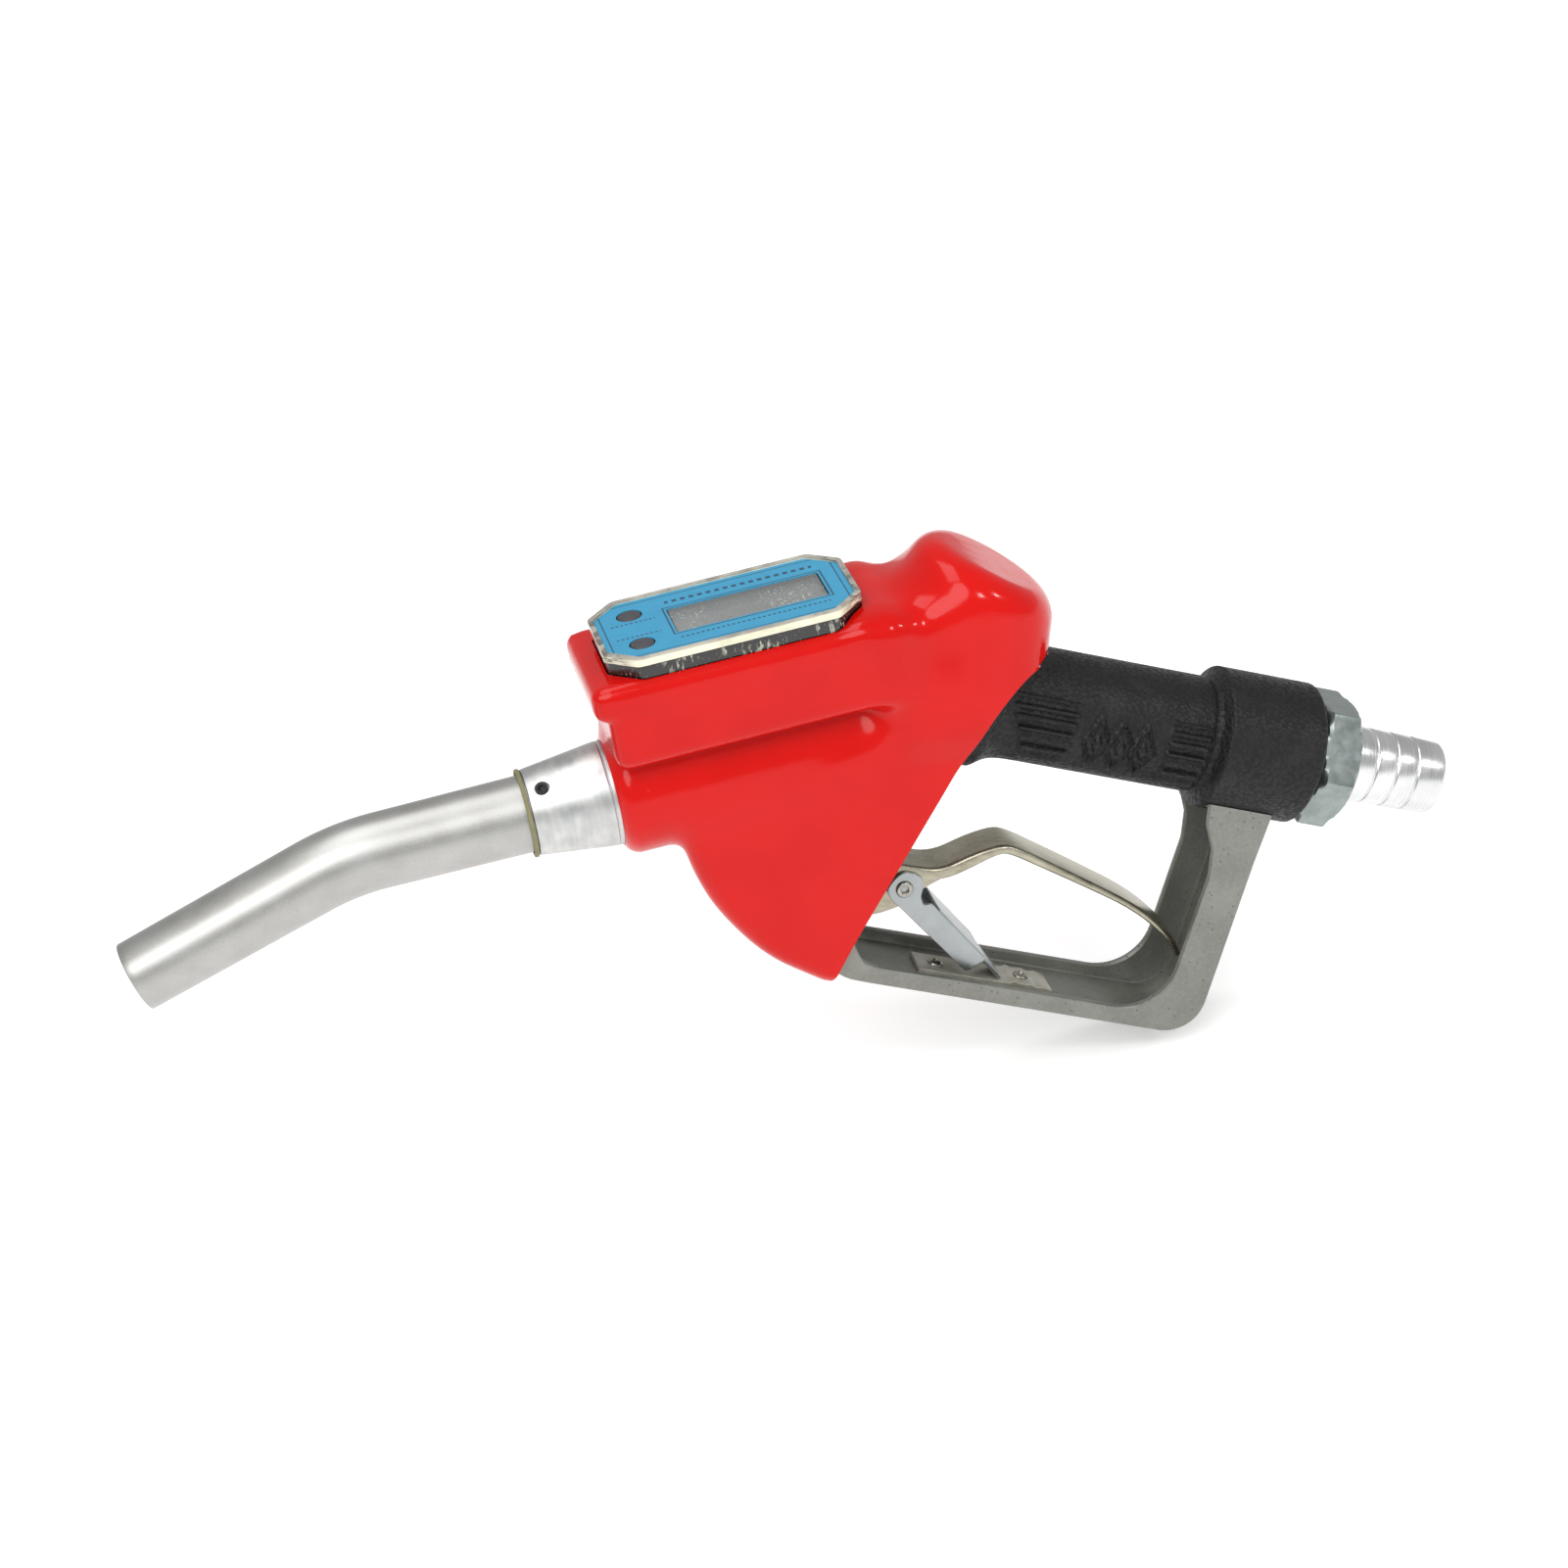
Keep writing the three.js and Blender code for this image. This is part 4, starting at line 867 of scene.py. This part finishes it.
# ---- inlet hexagon ----
# A zinc plated steel connector with its corners chamfered on both faces. The hose tail swivels in it.
zinc = metal("zinc_plate", tone("#9da6a4"), tone("#868f8c"), 0.34, (1, 1, 1), 3.5, 0.95, 0.04, 0.25)
FLATS = 41
corner_angle = np.linspace(0, 2 * np.pi, 240, endpoint=False)
hexagon = FLATS / 2 / np.cos((corner_angle + np.pi / 6) % (np.pi / 3) - np.pi / 6)
hex_levels = [(114.5, 13.7), (114.5, 20.6), (114.9, 21.2), (116.1, 23.5), (116.6, 24.2),
              (125.4, 24.2), (125.9, 23.5), (127.1, 21.2), (127.5, 20.6), (127.5, 13.7)]
hex_rings = []
for along, most in hex_levels:
    radius = np.minimum(hexagon, most) if most > 14 else np.full_like(hexagon, most)
    across, up = radius * np.sin(corner_angle), radius * np.cos(corner_angle)
    hex_rings.append(np.stack([np.full_like(radius, along), across, up], -1))
neck_rings = turned([(127.5, 13.7), (108, 13.7), (108, 20.2), (114.5, 20.2)], 240)
piece("hexagon_nut", [grid(np.array(hex_rings), loop_u=True), grid(neck_rings, loop_u=True)], from_handle,
      zinc, stands_for=["hex_connector"], sharp=25)

# ---- hose tail ----
# Turned aluminium, slightly tapered, with shallow grooves that bite into the hose.
tail_metal = metal("turned_aluminium", tone("#e6e7e6"), tone("#cbcccc"), 0.27, (0.25, 9, 9), 1.4,
                   turned=True)
tail_profile = [(104.4, 9.5), (104.4, 13.1), (129.6, 13.1)]
for groove in (137.6, 145.4, 153.2):
    radius = 13.15 - (groove - 129) * 0.012
    tail_profile += [(groove - 0.75, radius), (groove - 0.3, radius - 0.5),
                     (groove + 0.15, radius - 0.5), (groove + 0.5, radius - 0.05)]
tail_profile += [(163.0, 12.5), (163.7, 12.2), (164, 11.7), (164, 9.7), (163.7, 9.5)]
piece("grooved_tail", [grid(turned(rounded(tail_profile, 0.2, 2)), loop_u=True)], from_handle, tail_metal,
      "swivel_tail", ["hose_tail"])

# ---- lever guard ----
# A die cast aluminium channel, open on its inner side, that runs under the lever and turns up into
# a post behind it. Its two walls stand on a thin floor, and the outer corner is broad and round.
guard_metal = metal("die_cast", tone("#888982"), tone("#767771"), 0.46, (1, 1, 1), 1.1, 0.5, 0.07, 0.75)
GUARD_HALF, GUARD_WALL, GUARD_EDGE = 17, 2.8, 1.6


def carried(line):
    """A line of three stretches, with as many points on each stretch as the guard's other lines have."""
    stretches = [spaced(np.array(p), n) for p, n in zip(line, (60, 16, 50))]
    return np.concatenate([stretches[0], stretches[1][1:], stretches[2][1:]])


def arc(centre, radius, start, end, steps=12):
    """Points on a circle between two angles in degrees."""
    a = np.radians(np.linspace(start, end, steps))
    return [(centre[0] + radius * math.cos(t), centre[1] + radius * math.sin(t)) for t in a]


outer_line = carried([
    [(-40, -97.4), (-29, -101.6), (-24, -103.1), (-18, -103.3), (91, -103.3)],
    arc((91, -90.3), 13, -90, 0),
    [(104, -90.3), (104, -36), (104.4, -22), (104.6, -12)],
])
rim_line = carried([
    [(-40, -87), (-27, -88.5), (-21, -95.6), (-16, -96.8), (71.5, -96.8)],
    arc((71.5, -78.8), 18, -90, 0),
    [(89.5, -78.8), (89.5, -44), (87.4, -34), (82.5, -25.5), (80, -14)],
])
floor_line = carried([
    [(-40, -95.2), (-29, -99.2), (-24, -100.9), (-18, -101), (88, -101)],
    arc((88, -88), 13, -90, 0),
    [(101, -88), (101, -36), (101, -22), (101, -12)],
])
count = len(outer_line)
inward = unit(rim_line - outer_line)


def guard_ring():
    """The channel's section at each station: along the outer face, round its corner, up the side to
    the rim, over it, down the inner wall to the floor and across, then the same mirrored."""
    y, inner = GUARD_HALF, GUARD_HALF - GUARD_WALL
    half = []
    for t in np.radians([0, 30, 60, 90]):
        corner = outer_line + inward * GUARD_EDGE * (1 - math.cos(t))
        half.append((corner, y - GUARD_EDGE + GUARD_EDGE * math.sin(t)))
    half += [(rim_line - inward * 1.0, y), (rim_line - inward * 0.3, y - 0.3), (rim_line, y - 1.0)]
    half += [(rim_line, inner + 0.8), (rim_line - inward * 0.8, inner)]
    half += [(floor_line + inward * 1.5, inner), (floor_line + inward * 0.4, inner - 0.4)]
    half += [(floor_line, inner - 1.5)]
    points = [np.stack([line[:, 0], np.full(count, across), line[:, 1]], -1) for line, across in half]
    mirrored = [p * np.array([1, -1, 1]) for p in points[::-1]]
    return np.stack(points + mirrored, 1)


guard_points = guard_ring()
reach = np.sqrt(np.maximum(24.5**2 - guard_points[..., 1] ** 2, 0))
under_cup = (guard_points[..., 0] > 74) & (guard_points[..., 2] > -40)
guard_points[..., 2] = np.where(under_cup, np.minimum(guard_points[..., 2], -reach), guard_points[..., 2])
guard = piece("guard_channel", [grid(guard_points)], from_handle, guard_metal,
              stands_for=["lever_guard"], sharp=30)

# ---- rack plate and its screws ----
# A small notched steel plate on the guard's floor that the latch foot stands on, held by two screws.
rack_outline = rounded([
    (3.3, -100.7), (52.6, -100.7), (52.6, -99.5), (49, -98.9), (46.5, -99.3), (44.5, -98.6), (40, -98.9),
    (38.2, -98.3), (36.4, -99.2), (3.3, -99.2),
], 0.25, 2)
rack_zinc = metal("rack_zinc", tone("#bdbbae"), tone("#a5a397"), 0.4, (1, 1, 1), 3.5, 0.6, 0.04, 0.3)
piece("notched_rack", [slab(rack_outline, -6.5, 6.5, 0.2)], from_handle, rack_zinc,
      stands_for=["rack_plate"])
screw_steel = metal("plated_screw", tone("#b3b0a6"), tone("#8d8a80"), 0.33, pitted=0.2)
dome = rounded([(0, 2.75), (0.5, 2.7), (1.0, 2.1), (1.3, 1.0), (1.1, 0.9), (0.6, 0.5)], 0.2, 3, False)
for number, s in enumerate((10.5, 42.1), 1):
    head = turned(np.concatenate([dome, [(0.6, 0.0)]]), 32)
    head = stood_up(head, s, 0, -99.2 if number == 1 else -98.8)
    piece(f"rack_screw_head_{number}", [grid(head)], from_handle, screw_steel,
          stands_for=[f"rack_screw_{number}"])

# ---- trigger lever ----
# Nickel plated steel sheet, pressed to a shallow hook. Its edges turn down into a flange that
# deepens towards the ears, and the ears run forward to the pivot inside the cover.
nickel = metal("nickel_plate", tone("#b7b29f"), tone("#928d7b"), 0.3, (3, 1, 1), 1.6, 0.95, 0.04, 0.45,
               turned=True)
LEVER_HALF, SHEET = 8.25, 2.2
lever_top = rounded([
    (-30, -62), (-11.8, -62.1), (-1, -61.5, 6), (9.3, -53.4, 5), (16.1, -49.5, 4), (19.6, -48.5, 3),
    (24.8, -49.2, 5), (45, -54.6, 12), (72.8, -62.5, 14), (88.7, -71.6, 6), (93.1, -77.2),
], 2, 5, False)
lever_top = spaced(lever_top, 120)
direction = unit(np.gradient(lever_top, axis=0))
down = np.stack([direction[:, 1], -direction[:, 0]], -1)
flange = SHEET + 0.9 * step_up(-lever_top[:, 0], -70, -20) + 1.2 * step_up(-lever_top[:, 0], -18, -6)


def lever_ring():
    """The lever's section at each station: over the top with its edges rolled down, round the
    flange's lower edge, and back along the underside of the sheet."""
    h = LEVER_HALF
    steps = [(0.0, h - 1.7), (0.12, h - 1.0), (0.5, h - 0.35), (1.1, h)]
    points = [(lever_top + down * d, y) for d, y in steps]
    deep = flange[:, None]
    points += [(lever_top + down * (deep - 0.5), h), (lever_top + down * deep, h - 0.5),
               (lever_top + down * deep, h - 1.4), (lever_top + down * (deep - 0.4), h - 1.9),
               (lever_top + down * SHEET * 0.9, h - 2.2), (lever_top + down * SHEET * 0.85, h - 3.2)]
    ring = [np.stack([p[:, 0], np.full(len(p), y), p[:, 1]], -1) for p, y in points]
    return np.stack(ring + [p * np.array([1, -1, 1]) for p in ring[::-1]], 1)


ear_outline = rounded([
    (-58, -83, 3), (-56, -89, 3), (-49, -91, 2.5), (-18, -81.2, 3), (-9.5, -76, 5), (-4.5, -68.6, 3),
    (4, -61.2, 3), (9, -56.4, 1), (2, -59.6, 2), (-2, -62.4, 2), (-30, -63, 1), (-44, -79.7, 1.5),
    (-52, -79.7, 2),
], 1, 5)
ears = [slab(ear_outline, -8.2, -6.1, 0.35), slab(ear_outline, 6.1, 8.2, 0.35)]
piece("pressed_lever", [grid(lever_ring()), *ears], from_handle, nickel, "lever", ["trigger_lever"],
      sharp=40)

# ---- hold-open latch ----
# A bright zinc plated stirrup folded from thin sheet: two legs on the rivet, a web between them
# lower down, and a tongue that stands in a notch of the rack.
latch_zinc = metal("bright_zinc", tone("#a4a9aa"), tone("#999e9f"), 0.3, (1, 1, 1), 4, 0.85, 0.01, 0.08)
leg_outline = rounded([
    (-18.4, -71, 5), (-15.5, -74.6, 3), (-12, -76.6, 3), (18.5, -96.3, 1.6), (24.2, -90.6, 1.6),
    (-1, -73.6, 0.8), (-3.8, -74.6, 0.8), (-5.6, -71.8, 0.8), (-5.9, -66, 5),
    (-9.5, -63.6, 4), (-15, -63.8, 5),
], 1, 6)
web_outline = rounded([(2, -76.9), (22.4, -90.7), (23.2, -89.5), (2.8, -75.7)], 0.3, 2)
tongue_outline = rounded([
    (20, -89.9), (22.4, -91.6), (32.6, -99.0), (33.4, -98.2), (23.4, -90.1), (20.8, -88.6),
], 0.4, 2)
piece("folded_latch", [
    slab(leg_outline, -9.85, -8.65, 0.3), slab(leg_outline, 8.65, 9.85, 0.3),
    slab(web_outline, -9.2, 9.2, 0.2), slab(tongue_outline, -5.4, 5.4, 0.3),
], from_handle, latch_zinc, "latch", ["hold_open_latch"], sharp=40)

rivet_steel = metal("rivet_steel", tone("#b9b8b2"), tone("#8f8d86"), 0.3)
RIVET_S, RIVET_V = -12.2, -69.9
hollow = rounded([
    (9.9, 1.5), (9.95, 2.9), (10.35, 3.05), (10.9, 2.6), (11.0, 2.0), (10.8, 1.35), (10.2, 1.15), (9.6, 1.1),
], 0.3, 3)
rivet_ring = turned(hollow, 40)
shank = turned([(-10, 1.6), (10, 1.6), (10, 0.9), (-10, 0.9)], 32)
rivet_parts = []
for form, side in ((rivet_ring, -1), (rivet_ring, 1), (shank, 1)):
    across = np.stack([form[..., 2] + RIVET_S, side * form[..., 0], form[..., 1] + RIVET_V], -1)
    rivet_parts.append(grid(across, loop_u=True))
piece("hollow_rivet", rivet_parts, from_handle, rivet_steel, "lever", ["latch_rivet"])

# ---- pieces that stay as they were made ----
# The valve, meter works, springs, seals and fasteners inside keep their own solids. Each gets the
# finish of its metal, rubber or plastic.
inner_casting = metal("inner_casting", tone("#8f918f"), tone("#6f7170"), 0.5, pitted=0.6)
brass = metal("turned_brass", tone("#c4a25a"), tone("#9a7a3c"), 0.3)
spring_wire = metal("spring_wire", tone("#bfc0c0"), tone("#97989a"), 0.28)
black_rubber = Finish("seal_rubber", Roughness=0.7)
black_rubber.set("Base Color", black_rubber.place.noise(3).between(tone("#151516"), tone("#29292b")))
black_rubber.bump(black_rubber.place.noise(0.5), 0.02)
nylon = Finish("white_nylon", Roughness=0.42)
nylon.set("Base Color", nylon.place.noise(6).between(tone("#d5d3c6"), tone("#e8e6da")))
nylon.bump(nylon.place.noise(0.7), 0.01)
board = Finish("solder_mask", Roughness=0.4)
tracks = board.place.noise(1.1, 1, (6, 1, 1)).ramp(0.5, 0.54)
board.set("Base Color", (tracks * 0.5).between(tone("#1f5a31"), tone("#3f8a52")))
board.bump(tracks, 0.03)
for names, material in (
    (("meter_housing", "valve_body", "diaphragm_cap"), inner_casting),
    (("check_poppet", "main_poppet", "poppet_cap", "packing_nut", "inlet_strainer"), brass),
    (("check_spring", "main_spring", "diaphragm_spring", "latch_spring", "vent_tube"), spring_wire),
    (("coin_cell_1", "coin_cell_2"), spring_wire),
    (("turbine_shaft", "shutoff_plunger", "lever_pivot_pin", "foot_screw_1", "foot_screw_2"), rivet_steel),
    (("spout_o_ring", "case_gasket", "poppet_seal", "cap_seal", "stem_packing"), black_rubber.material),
    (("shutoff_diaphragm", "swivel_seal"), black_rubber.material),
    (("straightener_outlet", "straightener_inlet", "turbine_rotor"), nylon.material),
    (("circuit_board",), board.material),
    (("lcd_panel",), display.material),
):
    for name in names:
        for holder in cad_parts[name].material_slots:
            holder.material = material


def shorten(name):
    """Gives the spring its own copy of its mesh."""
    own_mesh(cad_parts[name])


shorten("main_spring")
shorten("diaphragm_spring")
shorten("check_spring")
